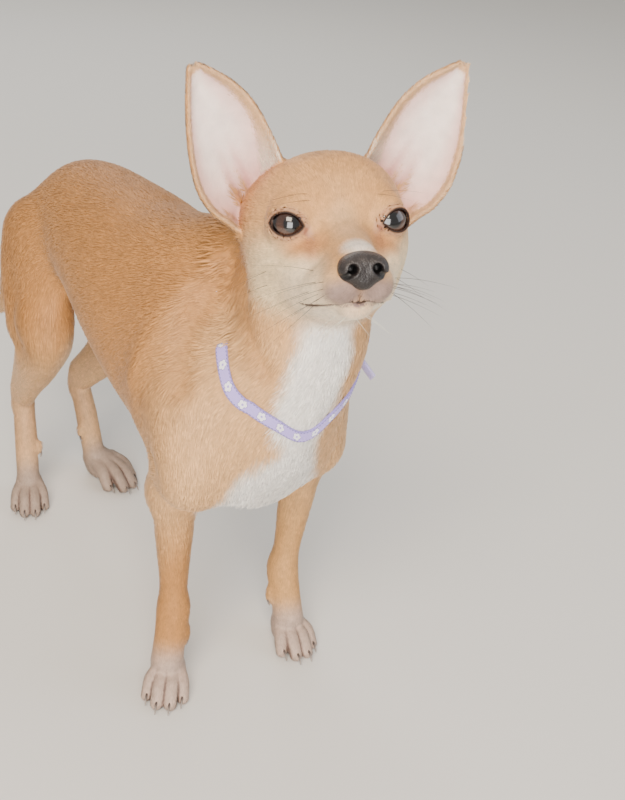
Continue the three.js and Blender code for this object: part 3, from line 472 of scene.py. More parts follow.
def collar_axes():
    """The shortest turn from the z axis to the collar's normal."""
    up = unit(COLLAR["normal"])
    axis = unit(np.cross((0, 0, 1), up))
    return np.array(Matrix.Rotation(math.acos(up[2]), 3, axis.tolist()))


collar_place = Place(COLLAR["centre"], collar_axes())


def neck_radius(angle, up):
    """How far the body's folded outline is from the collar's middle, found by halving."""
    direction = np.stack([np.cos(angle), np.sin(angle), np.zeros_like(angle)], axis=1)
    middle = np.stack([np.zeros_like(up), np.zeros_like(up), up], axis=1)
    low, high = np.full(len(angle), 5.0), np.full(len(angle), 70.0)
    for _ in range(16):
        radius = (low + high) / 2
        places = collar_place.outside(middle + direction * radius[:, None])
        inside = body_field(places) + 0.8 * sunk_by_folds(places) < 0
        low, high = np.where(inside, radius, low), np.where(inside, high, radius)
    return high


def collar_sunk(angle):
    """1 where the collar lies deep in the neck's hair: over the nape and down the dog's right side."""
    degrees = np.degrees(angle) % 360
    return smooth_step(28, 50, degrees) * (1 - smooth_step(158, 175, degrees))


def on_collar(angle, out, up):
    """Places on the band: angle round the neck, how far out from the neck, how far up from its middle."""
    angle = np.asarray(angle, float)
    edge = COLLAR["width"] / 2
    sag = -COLLAR["sag"] * swell(np.degrees(angle), COLLAR["sag_at"], COLLAR["sag_spread"])
    low, high = neck_radius(angle, sag - edge), neck_radius(angle, sag + edge)
    lean = (high - low) / (2 * edge)
    steep = np.sqrt(1 + lean ** 2)
    out = (out + COLLAR["stand"] - COLLAR["sunk_by"] * collar_sunk(angle)) / steep
    radius = (low + high) / 2 + lean * up / steep + out
    height = sag + up / steep - lean * out
    return collar_place.outside(np.stack([radius * np.cos(angle), radius * np.sin(angle), height], axis=1))


# Ears: a thin cupped sheet between an inner and an outer edge, open to the front

EAR_ACROSS = 28
EAR_ALONG = 44


def ear_sheet(side):
    """Points of the ear's middle sheet, in rows from root to tip, with their shares across and along."""
    v = np.linspace(0, 1, EAR_ALONG + 1)
    u = np.linspace(0, 1, EAR_ACROSS + 1)
    edges = []
    for edge in (EAR_INNER, EAR_OUTER):
        fine = spline(edge, 24)
        at = v * (len(fine) - 1)
        edges.append(np.stack([np.interp(at, np.arange(len(fine)), fine[:, i]) for i in range(3)], axis=1))
    deep = (EAR_HOLLOW * (1 - v) ** 1.2 + 4) * np.minimum(1, (1 - v) * 6 + 0.25)
    bow = deep[:, None] * (1 - (2 * u[None] - 1) ** 2) ** 0.8
    sheet = edges[0][:, None] * (1 - u[None, :, None]) + edges[1][:, None] * u[None, :, None]
    sheet = (sheet + bow[..., None] * np.array([0.12, 0.99, 0])) * (side, 1, 1)
    grid_u, grid_v = np.meshgrid(u, v)
    return head_place.outside(sheet), grid_u, grid_v


class Ear:
    """One ear's sheet, with its nearest place, front side and lie of hair for any point."""

    def __init__(self, side):
        sheet, grid_u, grid_v = ear_sheet(side)
        self.sheet = sheet
        points = sheet.reshape(-1, 3)
        number = np.arange(len(points)).reshape(grid_u.shape)
        corners = [number[:-1, :-1], number[:-1, 1:], number[1:, 1:], number[1:, :-1]]
        quads = np.stack(corners, axis=-1).reshape(-1, 4)
        faces = np.concatenate([quads[:, [0, 1, 2]], quads[:, [0, 2, 3]]])
        self.tree = BVHTree.FromPolygons(points.tolist(), faces.tolist())
        self.u = grid_u.ravel()[faces].mean(axis=1)
        self.v = grid_v.ravel()[faces].mean(axis=1)
        corners = points[faces]
        normal = unit(np.cross(corners[:, 1] - corners[:, 0], corners[:, 2] - corners[:, 0])) * side
        self.front = normal
        rising = np.gradient(sheet, axis=0).reshape(-1, 3)
        self.rising = unit(rising[faces].mean(axis=1))
        self.low = points.min(axis=0) - 6
        self.high = points.max(axis=0) + 6

    def nearest(self, points, reach):
        """Distance from the sheet, and the number of the nearest facet, for the points within reach."""
        far = np.full(len(points), FAR)
        facet = np.full(len(points), -1)
        for i in within(points, self.low, self.high):
            found = self.tree.find_nearest(points[i], reach)
            if found[0] is not None:
                far[i] = found[3]
                facet[i] = found[2]
        return far, facet

    def faced(self, facet, normals, low, high):
        """1 where a normal points out of the ear's open front."""
        return smooth_step(low, high, (normals * self.front[facet]).sum(axis=1))


EARS = [Ear(side) for side in SIDES]


def ear_field(points):
    value = np.full(len(points), FAR)
    for ear in EARS:
        far, facet = ear.nearest(points, 5.0)
        thick = EAR_SKIN / 2 * np.where(facet >= 0, 1.1 - 0.2 * ear.v[facet], 1)
        value = np.minimum(value, far - thick)
    return value


# Openings and grooves of the face, in the head's frame

def almond(points, side):
    """How far points lie outside the eye's almond opening, seen along the gaze."""
    p = eye_place[side].inside(points)
    half = EYE["width"] / 2
    rise = EYE["opening"] / 2
    radius = (half * half + rise * rise) / (2 * rise)
    upper = np.hypot(p[:, 0], p[:, 2] + radius - rise)
    lower = np.hypot(p[:, 0], p[:, 2] - radius + rise)
    edge = np.maximum(upper, lower) - radius
    return np.where(p[:, 1] < 0, edge, FAR)


def eye_cut(points, side):
    """Negative where skin is cut away: behind the almond opening, and where the eyeball sits."""
    ball = np.linalg.norm(points - eye_place[side].origin, axis=1) - EYE["radius"] - 0.12
    return np.minimum(ball, almond(points, side))


def from_straight(points, a, b):
    """How far points are from the straight line between two places, and what share of it they are along."""
    along = b - a
    d = points - a
    t = np.clip(d @ along / (along @ along), 0, 1)
    return np.linalg.norm(d - t[:, None] * along, axis=1), t


def line_distance(points, line):
    """How far points are from a line of short straight parts."""
    best = np.full(len(points), FAR)
    for a, b in zip(line[:-1], line[1:]):
        best = np.minimum(best, from_straight(points, a, b)[0])
    return best


def slope_of(field, points, step=0.25):
    """The field's rate of change along each axis."""
    slope = np.zeros_like(points)
    for axis in range(3):
        nudge = np.zeros(3)
        nudge[axis] = step
        slope[:, axis] = (field(points + nudge) - field(points - nudge)) / (2 * step)
    return slope


def settled(field, points, rounds=2, most=0.6):
    """Points moved onto the field's surface."""
    for _ in range(rounds):
        slope = slope_of(field, points)
        square = np.maximum((slope ** 2).sum(axis=1), 0.15)
        step = -(field(points) / square)[:, None] * slope
        length = np.linalg.norm(step, axis=1, keepdims=True)
        points = points + step * np.minimum(1, most / np.maximum(length, 1e-9))
    return points


# Lines of the face, laid on the surface

def bare_field(points):
    """How far points lie outside the skin, before its openings, folds and ears."""
    return body_field(points) + coat_depth(points)


def on_surface(line, finer):
    """A smooth line through places in the head's frame, moved onto the skin."""
    fine = head_place.outside(spline(line, finer))
    return head_place.inside(settled(bare_field, fine, rounds=8, most=1.5))


MOUTH = [(0, -24.3, -29), (3.8, -24.5, -29.2), (7.6, -22.1, -30), (12.1, -15.6, -30.6), (15.8, -6.6, -30.9),
         (17.8, -2.5, -30.3)]
mouth_line = {side: on_surface(np.array(MOUTH) * (side, 1, 1), 6) for side in SIDES}
philtrum_line = on_surface([(0, -30.5, -22), (0, -28.7, -24.5), (0, -24.3, -29)], 4)
tear_line = {side: on_surface([(side * 14.4, -6.2, -2.6), (side * 15.2, -5.4, -5.4), (side * 15, -7, -9)], 4)
             for side in SIDES}

# Where the skin is hollowed for the nose pad, where it is dark round it, and where no hair grows
NOSE_SEAT = {"centre": (0, -32.5, -17), "half": (7.6, 4.6, 5.4), "dark_half": (8.9, 6.1, 6.8)}
NOSE_BARE = {"centre": (0, -30, -17), "half": (8.9, 6.3, 6.9)}

# Folds of the neck and shoulder: lines on the outline, how far the skin sinks there, and how wide
FOLDS = [
    ([(-10, -69, 213), (-16, -66, 201), (-22, -67, 194), (-28, -69, 188), (-34, -74, 178), (-37, -80, 168)],
     2.2, 5.0),
    ([(-14, -62, 211), (-22, -57, 202), (-29, -57, 195), (-37, -55, 185), (-42, -52, 173), (-45, -50, 159)],
     -1.6, 6.5),
    ([(-12, -81, 214), (-13, -86, 205), (-15, -92, 197), (-16, -101, 189), (-14, -107, 182)], 1.0, 3.2),
    ([(40, -66, 205), (38, -70, 192), (37, -76, 180), (38, -82, 168)], 1.6, 5.0),
    ([(-30, -98, 128), (-27, -101, 114), (-25, -99, 102)], 1.0, 5.0),
    ([(31, -99, 130), (29, -101, 116), (27, -99, 103)], 1.0, 5.0),
]
fold_lines = [(spline(line, 4), depth, width) for line, depth, width in FOLDS]


def sunk_by_folds(points):
    """How far the folds sink the skin at each place."""
    total = np.zeros(len(points))
    near = np.flatnonzero((points[:, 1] < -40) & (points[:, 2] > 92) & (points[:, 2] < 222))
    for line, depth, width in fold_lines:
        total[near] += depth * swell(line_distance(points[near], line), 0, width)
    return total


def skin_field(points):
    """How far points lie outside the skin, with its eye openings, mouth line, folds and ears."""
    value = bare_field(points)
    close = np.flatnonzero(np.abs(value) < 8)
    value[close] += sunk_by_folds(points[close])
    on_head = head_place.inside(points)
    value = joined(value, ear_field(points), 3.0)
    for side in SIDES:
        near = np.flatnonzero(near_eye(points, side))
        if len(near):
            edge = almond(points[near], side)
            # The lid's rim stands up just outside the opening, and a shallow fold runs round it
            lid = 0.3 * swell(edge, 2.4, 0.7) - 0.35 * swell(edge, 0.7, 0.6)
            value[near] = carved(value[near] + lid, eye_cut(points[near], side), 0.4)
    x, y, z = on_head.T
    near = np.flatnonzero((np.abs(x) < 24) & (y < 0) & (np.abs(z + 24) < 14))
    if len(near):
        local = on_head[near]
        for side in SIDES:
            lip = line_distance(local, mouth_line[side])
            fullness = swell(lip, 2.0, 1.2) * (local[:, 2] > -29.5)
            value[near] = carved(value[near] - 0.35 * fullness, lip - 1.0, 0.6)
        value[near] = carved(value[near], line_distance(local, philtrum_line) - 0.55, 0.6)
        seat = np.linalg.norm((local - NOSE_SEAT["centre"]) / NOSE_SEAT["half"], axis=1) - 1
        value[near] = carved(value[near], 4.6 * seat, 0.8)
    return value


# Surfaces: one point in each cell that the surface crosses, one quad across each crossed edge

def stretched_axis(stops):
    """Grid places along an axis from pairs of a place and the spacing that follows it; the last has none."""
    places = []
    for (start, spacing), (end, _) in zip(stops[:-1], stops[1:]):
        count = max(1, round((end - start) / spacing))
        places.extend(start + (end - start) * np.arange(count) / count)
    return np.array([*places, stops[-1][0]])


def surface_of(field, axes):
    """Points and triangles of the surface where a field is 0, sampled on a grid."""
    grid = np.stack(np.meshgrid(*axes, indexing="ij"), axis=-1)
    shape = grid.shape[:3]
    values = field(grid.reshape(-1, 3)).reshape(shape)
    inside = values < 0
    nx, ny, nz = shape
    count = np.zeros((nx - 1, ny - 1, nz - 1), np.uint8)
    for i, j, k in np.ndindex(2, 2, 2):
        count += inside[i:nx - 1 + i, j:ny - 1 + j, k:nz - 1 + k]
    crossed = (count > 0) & (count < 8)
    cells = np.argwhere(crossed)
    number = np.full(crossed.shape, -1)
    number[crossed] = np.arange(len(cells))
    total = np.zeros((len(cells), 3))
    crossings = np.zeros(len(cells))
    for axis in range(3):
        for i, j in np.ndindex(2, 2):
            corner = np.insert([i, j], axis, 0)
            other = np.insert([i, j], axis, 1)
            a = values[tuple((cells + corner).T)]
            b = values[tuple((cells + other).T)]
            cut = (a < 0) != (b < 0)
            t = np.where(cut, a / np.where(a == b, 1, a - b), 0)
            place = lerp(grid[tuple((cells + corner).T)], grid[tuple((cells + other).T)], t[:, None])
            total += place * cut[:, None]
            crossings += cut
    points = total / crossings[:, None]
    quads = []
    for axis in range(3):
        u, v = (axis + 1) % 3, (axis + 2) % 3
        first = inside.take(range(shape[axis] - 1), axis)
        second = inside.take(range(1, shape[axis]), axis)
        edge = np.argwhere(first != second)
        clear = [(edge[:, w] > 0) & (edge[:, w] < shape[w] - 1) for w in (u, v)]
        edge = edge[clear[0] & clear[1]]
        corners = []
        for du, dv in ((1, 1), (0, 1), (0, 0), (1, 0)):
            cell = edge.copy()
            cell[:, u] -= du
            cell[:, v] -= dv
            corners.append(number[tuple(cell.T)])
        quad = np.stack(corners, axis=1)
        outward = first[tuple(edge.T)]
        quad[~outward] = quad[~outward][:, ::-1]
        quads.append(quad)
    quads = np.concatenate(quads)
    return points, np.concatenate([quads[:, [0, 1, 2]], quads[:, [0, 2, 3]]])


def refined(points, faces, longest):
    """Faces whose edges are longer than longest(middle) are split at the middle of those edges."""
    pairs = np.sort(np.concatenate([faces[:, [0, 1]], faces[:, [1, 2]], faces[:, [2, 0]]]), axis=1)
    pairs, which = np.unique(pairs, axis=0, return_inverse=True)
    middle = points[pairs].mean(axis=1)
    length = np.linalg.norm(points[pairs[:, 0]] - points[pairs[:, 1]], axis=1)
    split = length > longest(middle)
    number = np.full(len(pairs), -1)
    number[split] = len(points) + np.arange(split.sum())
    new = number[which.reshape(3, -1).T]
    out = []
    for pattern in np.ndindex(2, 2, 2):
        rows = ((new >= 0) == np.array(pattern, bool)).all(axis=1)
        a, b, c = faces[rows].T
        ab, bc, ca = new[rows].T
        if sum(pattern) == 0:
            parts = [(a, b, c)]
        elif sum(pattern) == 3:
            parts = [(a, ab, ca), (ab, b, bc), (ca, bc, c), (ab, bc, ca)]
        else:
            lead = pattern.index(1) if sum(pattern) == 1 else (pattern.index(0) + 1) % 3
            corner = [(a, b, c), (b, c, a), (c, a, b)][lead]
            cuts = [(ab, bc, ca), (bc, ca, ab), (ca, ab, bc)][lead]
            if sum(pattern) == 1:
                parts = [(corner[0], cuts[0], corner[2]), (cuts[0], corner[1], corner[2])]
            else:
                parts = [(cuts[0], corner[1], cuts[1]), (corner[0], cuts[0], cuts[1]),
                         (corner[0], cuts[1], corner[2])]
        out.extend(np.stack(part, axis=1) for part in parts)
    return np.concatenate([points, middle[split]]), np.concatenate(out)


def make_piece(name, points, faces, smooth=True):
    """A mesh object from places in millimetres in the body's frame."""
    mesh = bpy.data.meshes.new(name)
    points = ((np.asarray(points, float) + SHIFT) * MM).astype(np.float32)
    faces = np.asarray(faces, np.int32)
    mesh.vertices.add(len(points))
    mesh.vertices.foreach_set("co", points.ravel())
    mesh.loops.add(faces.size)
    mesh.loops.foreach_set("vertex_index", faces.ravel())
    mesh.polygons.add(len(faces))
    mesh.polygons.foreach_set("loop_start", np.arange(0, faces.size, faces.shape[1], dtype=np.int32))
    mesh.update(calc_edges=True)
    mesh.polygons.foreach_set("use_smooth", np.full(len(faces), smooth))
    mesh.validate()
    return add_object(name, mesh)


def paint(piece, name, colours):
    """A colour for each vertex, kept as an attribute that the materials read."""
    attribute = piece.data.attributes.new(name, "FLOAT_COLOR", "POINT")
    full = np.ones((len(colours), 4), np.float32)
    full[:, :3] = colours
    attribute.data.foreach_set("color", full.ravel())


# Markings, shared by the skin and the coat

def linear(text):
    """An sRGB hex colour as linear red, green and blue."""
    channels = np.array([int(text[i:i + 2], 16) for i in (1, 3, 5)]) / 255
    return np.where(channels <= 0.04045, channels / 12.92, ((channels + 0.055) / 1.055) ** 2.4)


def tinted(colour, share, text):
    """Colours drawn towards a hex colour by a share from 0 to 1."""
    return colour + (linear(text) - colour) * np.clip(share, 0, 1)[:, None]


def wavy(points, size):
    """A smooth wandering number between about -1 and 1, with bumps of that size."""
    total = np.zeros(len(points))
    for i, (a, b, c) in enumerate([(1, 0.6, -0.4), (-0.5, 1, 0.7), (0.8, -0.7, 1)]):
        phase = points @ np.array([a, b, c]) * 2.2 / size + 1.7 * i
        total += np.sin(phase + 1.3 * np.sin(0.7 * phase + points[:, i] / size))
    return total / 3


def spot(points, centre, radii, soft=0.35):
    """1 inside an egg-shaped patch, fading to 0 over its soft edge."""
    r = np.linalg.norm((points - np.array(centre, float)) / np.array(radii, float), axis=1)
    return 1 - smooth_step(1 - soft, 1 + soft, r)


BLAZE = [
    (*head_place.outside((0, -10, -40)), 9), (*head_place.outside((0, 8, -46)), 12), (5, -117, 201, 10.5),
    (5, -119, 190, 13), (4, -116, 174, 14), (1, -115, 158, 13), (2, -113, 148, 10), (3, -112, 141, 10),
    (2, -108, 131, 16), (-1, -100, 119, 23), (-1, -92, 108, 27), (0, -78, 100, 24),
]


def blaze(points):
    """The white stripe from the chin down the throat and chest."""
    path = spline(BLAZE, 5)
    best = np.full(len(points), FAR)
    for a, b in zip(path[:-1], path[1:]):
        far, t = from_straight(points, a[:3], b[:3])
        best = np.minimum(best, far - (a[3] + (b[3] - a[3]) * t))
    return 1 - smooth_step(-5, 3, best + 2.2 * wavy(points, 9))


def toe_furrow_shade(points, leg, stretch):
    """1 in the furrows between the toes, where painted shade darkens them, fading out over the top of the
    paw.
    """
    p = Place(leg["paw"], turn("Z", leg["yaw"])).inside(points) / leg["size"]
    near = (np.abs(p[:, 0]) < 14) & (p[:, 1] > -24) & (p[:, 1] < 8) & (p[:, 2] < 16)
    forward = smooth_step(-2 * stretch, -11 * stretch, p[:, 1])
    middles = np.array([-5.7, 0, 5.7])
    away = np.abs(p[:, 0, None] / (0.85 + 0.35 * forward[:, None]) - middles).min(axis=1)
    return 0.85 * near * forward * (1 - smooth_step(0.15, 0.95, away))


LOWER_FORELEG = {RIGHT: "#BC8040", LEFT: "#CE995C"}


def markings(points):
    """The coat's colour at each place, with the place in the head's frame and how far it is on the head."""
    _, y, z = points.T
    colour = np.tile(linear("#BF864C"), (len(points), 1))

    def tint(share, text):
        nonlocal colour
        colour = tinted(colour, share, text)

    # The back is darker, and the flanks, chest, belly and legs are paler
    tint(0.6 * smooth_step(170, 205, z) * smooth_step(-62, -20, y), "#B17C45")
    tint(0.6 * (1 - smooth_step(105, 150, z + 0.12 * y)), "#DAAC77")
    tint(0.85 * smooth_step(-46, -92, y) * (1 - smooth_step(190, 220, z)), "#E0B07B")
    tint(0.8 * spot(points, (0, 20, 112), (26, 80, 22)), "#EBD3B6")
    tint(0.75 * (1 - smooth_step(75, 125, z)), "#DFB382")
    for side in SIDES:
        fore, hind = FORELEG[side], HINDLEG[side]
        tint(0.85 * spot(points, offset(fore["wrist"], 0, -4, 4), (16, 16, 52), 0.6), LOWER_FORELEG[side])
        # Pale greyish paws, darkened with painted shade, the hind paws the most
        tint(0.95 * spot(points, offset(fore["paw"], 0, -4, 4), (22, 26, 21), 0.4), "#C0A899")
        tint(0.95 * spot(points, offset(hind["paw"], 0, -6, 4), (22, 30, 23), 0.4), "#AC9788")
        tint(0.6 * spot(points, offset(hind["hock"], 0, 3, -20), (13, 16, 34), 0.6), "#C89D77")
        for leg, stretch in ((fore, FORE_PAW_LENGTH), (hind, HIND_PAW_LENGTH)):
            # Painted shade in the furrows between the toes
            tint(toe_furrow_shade(points, leg, stretch), "#5F463E")
    # Painted shade: the hair is darkened along the folds of the neck, as in their shadow
    for i, share in ((0, 0.5), (2, 0.65)):
        line, _, width = fold_lines[i]
        tint(share * swell(line_distance(points, line), 0, width + 2), "#B17B45")
    tint(blaze(points), "#F7F1E8")

    h = head_place.inside(points)
    on_head = smooth_step(-78, -92, y) * smooth_step(198, 216, z)
    sides = np.abs(h[:, 0])
    folded = np.stack([sides, h[:, 1], h[:, 2]], axis=1)
    # The head: forehead, pale cheeks and chin, tan round the eyes, and the muzzle's pale top and grey lips
    tint(on_head * (1 - smooth_step(44, 62, h[:, 1])), "#D7A36C")
    tint(on_head * 0.6 * spot(h, (0, 8, 24), (20, 26, 12), 0.7), "#CC9760")
    tint(on_head * spot(folded, (25, 6, -23), (17, 24, 17), 0.55), "#F3D6A8")
    tint(on_head * spot(folded, (12, -8, -26), (14, 18, 12), 0.5), "#F2DBB8")
    tint(on_head * spot(h, (0, -2, -38), (18, 26, 9), 0.5), "#F4E2C6")
    tint(on_head * 0.85 * spot(folded, (12, -2, 8), (9, 9, 7), 0.6), "#D39C62")
    tint(on_head * 0.85 * spot(folded, (14.5, -5, -8.5), (9, 8, 4.4), 0.7), "#C98A52")
    tint(on_head * 0.5 * spot(folded, (13.2, -8, -8.5), (2.2, 5, 6), 0.7), "#A8704C")
    tint(on_head * 0.7 * spot(folded, (29, -1, 2), (6, 8, 6), 0.7), "#CF9A66")
    tint(on_head * 0.6 * spot(h, (0, -9, -3), (5.5, 14, 9), 0.6), "#DFB88C")
    tint(on_head * 0.9 * spot(h, (0, -27, -8.5), (7, 5, 3.5), 0.6), "#EADFD3")
    tint(on_head * 0.9 * spot(folded, (6.5, -26.5, -25), (7.5, 7, 5), 0.5), "#927C76")
    return colour, h, on_head


def ear_shares(points):
    """For each ear: which points belong to it, the nearest facet, and whether they are on its front."""
    shares = []
    for ear in EARS:
        far, facet = ear.nearest(points, 3.0)
        h = head_place.inside(points)
        clear = smooth_step(26, 30, np.hypot(h[:, 0], h[:, 2]))
        belongs = (facet >= 0) * (1 - smooth_step(1.1, 2.2, far)) * np.where(ear.v[facet] > 0.16, 1, clear)
        shares.append((ear, belongs, facet))
    return shares


def under_lip(h, lip):
    """1 on the bare edge of the lower lip, just under the mouth's line near its middle."""
    sides = np.abs(h[:, 0])
    below = smooth_step(-29.3, -30.1, h[:, 2] + 0.09 * sides)
    return below * (1 - smooth_step(2.2, 3.0, lip)) * (1 - smooth_step(8, 13, sides)) * (h[:, 1] < -8)


def ear_skin_colour(u, v):
    """The inside of the ear: pale pink, deeper at the folds below, tan towards the rim."""
    rim = np.minimum(smooth_step(0.0, 0.05 + 0.07 * (1 - v), u), smooth_step(1.0, 0.95, u))
    rim = rim * smooth_step(1.0, 0.95, v)
    tan, pale, pink, deep = (linear(text) for text in ("#E2AE7A", "#FBEAE2", "#F2CBC2", "#C27F7A"))
    middle = smooth_step(0.2, 0.55, v) * smooth_step(1.0, 0.3, np.abs(2 * u - 1))
    colour = lerp(pink, pale, middle[:, None])
    fold = swell(u + 0.25 * v, 0.66, 0.07) + swell(u + 0.1 * v, 0.42, 0.06)
    colour = lerp(colour, deep, (0.65 * np.clip(fold, 0, 1) * smooth_step(0.62, 0.2, v))[:, None])
    colour = lerp(colour, deep, (0.5 * smooth_step(0.32, 0.05, v))[:, None])
    return lerp(tan, colour, rim[:, None])


def skin_colours(points, normals):
    """The skin's colour at each place: the coat's, with bare ears, lids, lips and the nose's edge."""
    colour, h, on_head = markings(points)

    def tint(share, text):
        nonlocal colour
        colour = tinted(colour, share, text)

    for ear, belongs, facet in ear_shares(points):
        front = ear.faced(facet, normals, -0.1, 0.35) * belongs
        inner = ear_skin_colour(ear.u[facet], ear.v[facet])
        tint(0.8 * belongs, "#C79462")
        colour = lerp(colour, inner, front[:, None])
    for side in SIDES:
        near = near_eye(points, side)
        edge = almond(points, side)
        tint(0.7 * near * (1 - smooth_step(1.8, 3.2, edge)), "#B58C72")
        tint(near * (1 - smooth_step(0.55, 1.2, edge)), "#2C1C16")
        canthus = spot(h, (side * 13.6, -7, -4.2), (2.6, 3.4, 3.6), 0.5)
        tint(0.7 * canthus * smooth_step(0.5, 1.2, edge), "#B08A80")
        tint(0.7 * on_head * (1 - smooth_step(0.4, 1.7, line_distance(h, tear_line[side]))), "#8F5A44")
        lip = line_distance(h, mouth_line[side])
        tint(0.5 * on_head * (1 - smooth_step(1.0, 2.6, lip)), "#A58F86")
        tint(0.9 * under_lip(h, lip), "#7D6661")
        # The lips' dark edges, deepened with painted shade in the mouth's crease
        tint(on_head * (1 - smooth_step(0.9, 1.5, lip)), "#33231F")
    # The philtrum's dark skin, deepened with painted shade in its cleft
    tint(on_head * (1 - smooth_step(0.5, 0.95, line_distance(h, philtrum_line))), "#4A3C3A")
    seat = np.linalg.norm((h - NOSE_SEAT["centre"]) / NOSE_SEAT["dark_half"], axis=1)
    tint(on_head * (1 - smooth_step(0.95, 1.1, seat)), "#1C191B")
    return colour


# The skin: one surface over head, neck, trunk, legs, tail and ears

# The longest edges of the skin's triangles, and how near the lids and the mouth's line they are short
SKIN_EDGE = {"body": 9.0, "eye": 0.62, "mouth": 0.75}
FINE_WITHIN = {"eye": 2.6, "mouth": 2.2}
FACE_REACH = 60


def make_skin():
    """The skin's points and triangles, finest round the eyes and mouth."""
    axes = (
        stretched_axis([(-60, 1.0), (66, None)]),
        stretched_axis([(-160, 0.85), (-58, 2.0), (188, None)]),
        stretched_axis([(-3.4, 0.9), (26, 1.8), (206, 0.85), (312, None)]),
    )
    points, faces = surface_of(skin_field, axes)

    def longest(middle):
        h = head_place.inside(middle)
        length = np.full(len(middle), SKIN_EDGE["body"])
        for side in SIDES:
            length[np.abs(almond(middle, side)) < FINE_WITHIN["eye"]] = SKIN_EDGE["eye"]
            length[line_distance(h, mouth_line[side]) < FINE_WITHIN["mouth"]] = SKIN_EDGE["mouth"]
        return np.where(np.linalg.norm(h, axis=1) < FACE_REACH, length, SKIN_EDGE["body"])

    points = settled(skin_field, points, rounds=1)
    for _ in range(2):
        points, faces = refined(points, faces, longest)
        fine = longest(points) < SKIN_EDGE["body"]
        points[fine] = settled(skin_field, points[fine], rounds=2, most=0.4)
    points[:, 2] = np.maximum(points[:, 2], 0.05)
    return points, faces


def vertex_normals(points, faces):
    """Each point's normal, from the faces round it by their areas."""
    corners = points[faces]
    face_normal = np.cross(corners[:, 1] - corners[:, 0], corners[:, 2] - corners[:, 0])
    normals = np.zeros_like(points)
    for i in range(3):
        np.add.at(normals, faces[:, i], face_normal)
    return unit(normals)


def fold_ears(points, normals):
    """Raises the ridges inside the ears, running up from the canal."""
    lift = np.zeros(len(points))
    for ear, belongs, facet in ear_shares(points):
        u, v = ear.u[facet], ear.v[facet]
        front = ear.faced(facet, normals, 0.2, 0.6) * belongs
        ridges = swell(u + 0.25 * v, 0.70, 0.06) + 0.8 * swell(u + 0.12 * v, 0.50, 0.06)
        pouch = swell(u, 0.93, 0.05) * swell(v, 0.2, 0.07)
        lift += front * (1.3 * ridges * smooth_step(0.55, 0.1, v) + 0.9 * pouch)
    return points + normals * lift[:, None]


skin_points, skin_faces = make_skin()
skin_normals = vertex_normals(skin_points, skin_faces)
skin_points = fold_ears(skin_points, skin_normals)
skin_normals = vertex_normals(skin_points, skin_faces)
print("skin triangles", len(skin_faces))


# Materials

def material(name):
    made = bpy.data.materials.new(name)
    made.use_nodes = True
    tree = made.node_tree
    tree.nodes.clear()
    output = tree.nodes.new("ShaderNodeOutputMaterial")
    shader = tree.nodes.new("ShaderNodeBsdfPrincipled")
    tree.links.new(shader.outputs["BSDF"], output.inputs["Surface"])
    return made, tree, shader


def add_node(tree, kind, links=None, **settings):
    """Adds a node. Settings name its properties or inputs; links give the sockets that feed its inputs."""
    node = tree.nodes.new(kind)
    for key, value in settings.items():
        if key in node.inputs:
            node.inputs[key].default_value = value
        else:
            setattr(node, key, value)
    for key, socket in (links or {}).items():
        tree.links.new(socket, node.inputs[key])
    return node


def texture(tree, kind, output, scale, **settings):
    """A texture laid by a piece's own places, as the socket that gives its value."""
    place = add_node(tree, "ShaderNodeTexCoord")
    return add_node(tree, kind, {"Vector": place.outputs["Object"]}, Scale=scale, **settings).outputs[output]


def mottled(tree, shader, attribute, value, seen, shades):
    """Colours the shader by an attribute; a texture's seen span of values darkens or lightens it."""
    colour = add_node(tree, "ShaderNodeAttribute", attribute_name=attribute)
    shade = add_node(tree, "ShaderNodeMapRange", {"Value": value},
                     **dict(zip(("From Min", "From Max", "To Min", "To Max"), (*seen, *shades))))
    mixed = add_node(tree, "ShaderNodeVectorMath",
                     {0: colour.outputs["Color"], "Scale": shade.outputs["Result"]}, operation="SCALE")
    tree.links.new(mixed.outputs["Vector"], shader.inputs["Base Color"])


def two_toned(tree, shader, value, low, high):
    """Colours the shader between two linear colours by a texture."""
    ramp = add_node(tree, "ShaderNodeValToRGB", {"Fac": value})
    for element, colour in zip(ramp.color_ramp.elements, (low, high)):
        element.color = (*colour, 1)
    tree.links.new(ramp.outputs["Color"], shader.inputs["Base Color"])


def add_bump(tree, shader, height, strength, distance, **settings):
    bump = add_node(tree, "ShaderNodeBump", {"Height": height},
                    Strength=strength, Distance=distance, **settings)
    tree.links.new(bump.outputs["Normal"], shader.inputs["Normal"])


SOCKETS = {
    "base_color": "Base Color", "roughness": "Roughness", "ior": "IOR", "specular": "Specular IOR Level",
    "coat_weight": "Coat Weight", "coat_roughness": "Coat Roughness", "coat_ior": "Coat IOR",
    "sheen_weight": "Sheen Weight", "sheen_roughness": "Sheen Roughness", "subsurface": "Subsurface Weight",
    "subsurface_scale": "Subsurface Scale", "subsurface_radius": "Subsurface Radius",
}


def set_shader(shader, **values):
    for key, value in values.items():
        shader.inputs[SOCKETS[key]].default_value = value


def finish_piece(piece, made, slot, *nodes):
    """Gives a piece its material and its place in the frame."""
    piece.data.materials.clear()
    piece.data.materials.append(made)
    if nodes:
        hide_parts(*nodes)
    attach(piece, "root")


def coat_material():
    """Short dog hair: keratin strands, a soft sheen, and a little light and dark from strand to strand."""
    made, tree, shader = material("short_dog_hair")
    strands = texture(tree, "ShaderNodeTexNoise", "Fac", 420, Detail=2)
    mottled(tree, shader, "coat", strands, seen=(0.3, 0.7), shades=(0.86, 1.1))
    set_shader(shader, roughness=0.58, specular=0.28, ior=1.55, sheen_weight=0.12, sheen_roughness=0.4)
    return made


